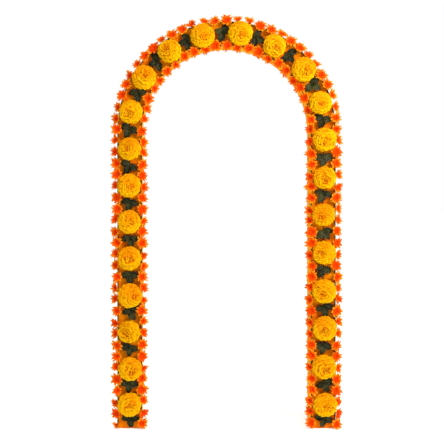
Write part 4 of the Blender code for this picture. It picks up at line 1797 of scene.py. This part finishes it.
@dataclass(frozen=True)
class Studio:
    """Plain white studio: floor, soft lights, pale surround and the photograph's camera."""

    focal_length: float = 55.3
    sensor_width: float = 36.0
    camera_place: Triple = (-0.2486, -3.515, 1.222)
    shift: Span = (0.0991, -0.0721)
    surround: float = 0.40
    backdrop: float = 1.0
    sun_reach: float = 6
    key: Span = (14, 0.25)
    key_from: Triple = (0.75, -1.0, 0.80)
    top: Span = (30, 0.9)
    top_from: Triple = (-0.15, -0.35, 1.0)
    softbox_power: float = 101.0
    softbox_size: float = 1.1
    softbox_place: Triple = (2.1, -2.2, 2.9)
    softbox_aim: Triple = (0, 0, 1.3)
    floor_reach: float = 30.0
    floor_tone: float = 0.93
    floor_roughness: float = 0.9
    floor_specular: float = 0.1
    floor_glow: float = 0.46

    def floor(self) -> None:
        """Lay the pale floor."""
        mesh = bpy.data.meshes.new("studio_floor")
        signs = ((-1, -1), (1, -1), (1, 1), (-1, 1))
        corners = [(x * self.floor_reach, y * self.floor_reach, 0) for x, y in signs]
        mesh.from_pydata(corners, [], [(0, 1, 2, 3)])
        material = bpy.data.materials.new("pale_floor")
        material.use_nodes = True
        shader = material.node_tree.nodes["Principled BSDF"]
        settings = {
            "Base Color": (self.floor_tone, self.floor_tone, self.floor_tone, 1),
            "Emission Color": (1, 1, 1, 1),
            "Emission Strength": self.floor_glow,
            "Roughness": self.floor_roughness,
            "Specular IOR Level": self.floor_specular,
        }
        for title, value in settings.items():
            shader.inputs[title].default_value = value
        mesh.materials.append(material)
        floor = bpy.data.objects.new("studio_floor", mesh)
        bpy.context.scene.collection.objects.link(floor)

    def hang(self, data: Light, place: Vector, away: Vector) -> None:
        """Hang a light.

        Args:
            data: The light.
            place: Where it hangs.
            away: The way opposite to its beam.
        """
        lamp = bpy.data.objects.new(data.name, data)
        lamp.location = place
        lamp.rotation_euler = away.to_track_quat("Z", "Y").to_euler()
        bpy.context.scene.collection.objects.link(lamp)

    def sun(self, name: str, source: Vector, softness: float, strength: float) -> None:
        """Hang one wide soft light, far off.

        Args:
            name: Its name.
            source: Direction that it shines from.
            softness: Angle that it fills, in degrees.
            strength: Its strength.
        """
        data = bpy.data.lights.new(name, "SUN")
        data.angle = math.radians(softness)
        data.energy = strength
        self.hang(data, source.normalized() * self.sun_reach, source)

    def softbox(self) -> None:
        """Hang the square softbox whose light falls off towards the left foot."""
        data = bpy.data.lights.new("softbox", "AREA")
        data.size = self.softbox_size
        data.energy = self.softbox_power
        place = Vector(self.softbox_place)
        self.hang(data, place, place - Vector(self.softbox_aim))

    def surroundings(self) -> World:
        """White surround that the camera sees brighter than it lights the part.

        Returns:
            The world.
        """
        world = bpy.data.worlds.new("white_surround")
        world.use_nodes = True
        graph = Graph(world.node_tree)
        lighting = world.node_tree.nodes["Background"]
        backdrop = graph.node("Background")
        for background, strength in ((lighting, self.surround), (backdrop, self.backdrop)):
            background.inputs["Color"].default_value = (1, 1, 1, 1)
            background.inputs["Strength"].default_value = strength
        choice = graph.node("MixShader")
        graph.feed(choice.inputs[0], graph.node("LightPath").outputs["Is Camera Ray"])
        graph.feed(choice.inputs[1], lighting.outputs[0])
        graph.feed(choice.inputs[2], backdrop.outputs[0])
        graph.feed(world.node_tree.nodes["World Output"].inputs["Surface"], choice.outputs[0])
        return world

    def build(self) -> None:
        """Set the floor, lights, surround and camera."""
        self.floor()
        self.sun("key_upper_right", Vector(self.key_from), *self.key)
        self.sun("top", Vector(self.top_from), *self.top)
        self.softbox()
        scene = bpy.context.scene
        scene.world = self.surroundings()
        data = bpy.data.cameras.new("photo_camera")
        data.lens = self.focal_length
        data.sensor_width = self.sensor_width
        data.shift_x, data.shift_y = self.shift
        camera = bpy.data.objects.new("photo_camera", data)
        camera.location = self.camera_place
        camera.rotation_euler = (math.pi / 2, 0, 0)
        scene.collection.objects.link(camera)
        scene.camera = camera
        scene.view_settings.view_transform = "Standard"


def main() -> None:
    """Dress the arch from its frame outwards."""
    logging.basicConfig(level=logging.INFO, format="%(message)s")
    layout = ArchLayout()
    finishes = make_finishes()
    neighbours = Neighbours()
    BoxArch(layout, finishes).build()
    for index in range(layout.head_count):
        MarigoldHead(index, layout, finishes).build()
    for index in range(layout.head_count + 1):
        RoseSprig(index, layout, finishes, neighbours).build()
    stem = FloretStrand.stem_radius
    outer, inner = layout.outer_radius - stem, layout.inner_radius + stem
    thirds = ("garland_inner_left", "garland_inner_crown", "garland_inner_right")
    edges = (
        Edge(layout, ("garland_outer",), outer, outwards=1, first_floret=0.024),
        Edge(layout, thirds, inner, outwards=-1, first_floret=0.032),
    )
    for edge in edges:
        standing: list[Strand] = []
        for strand in edge.strands():
            FloretStrand(strand, edge, layout, finishes, neighbours).build(standing)
            standing.append(strand)
    Studio().build()


if __name__ == "__main__":
    main()
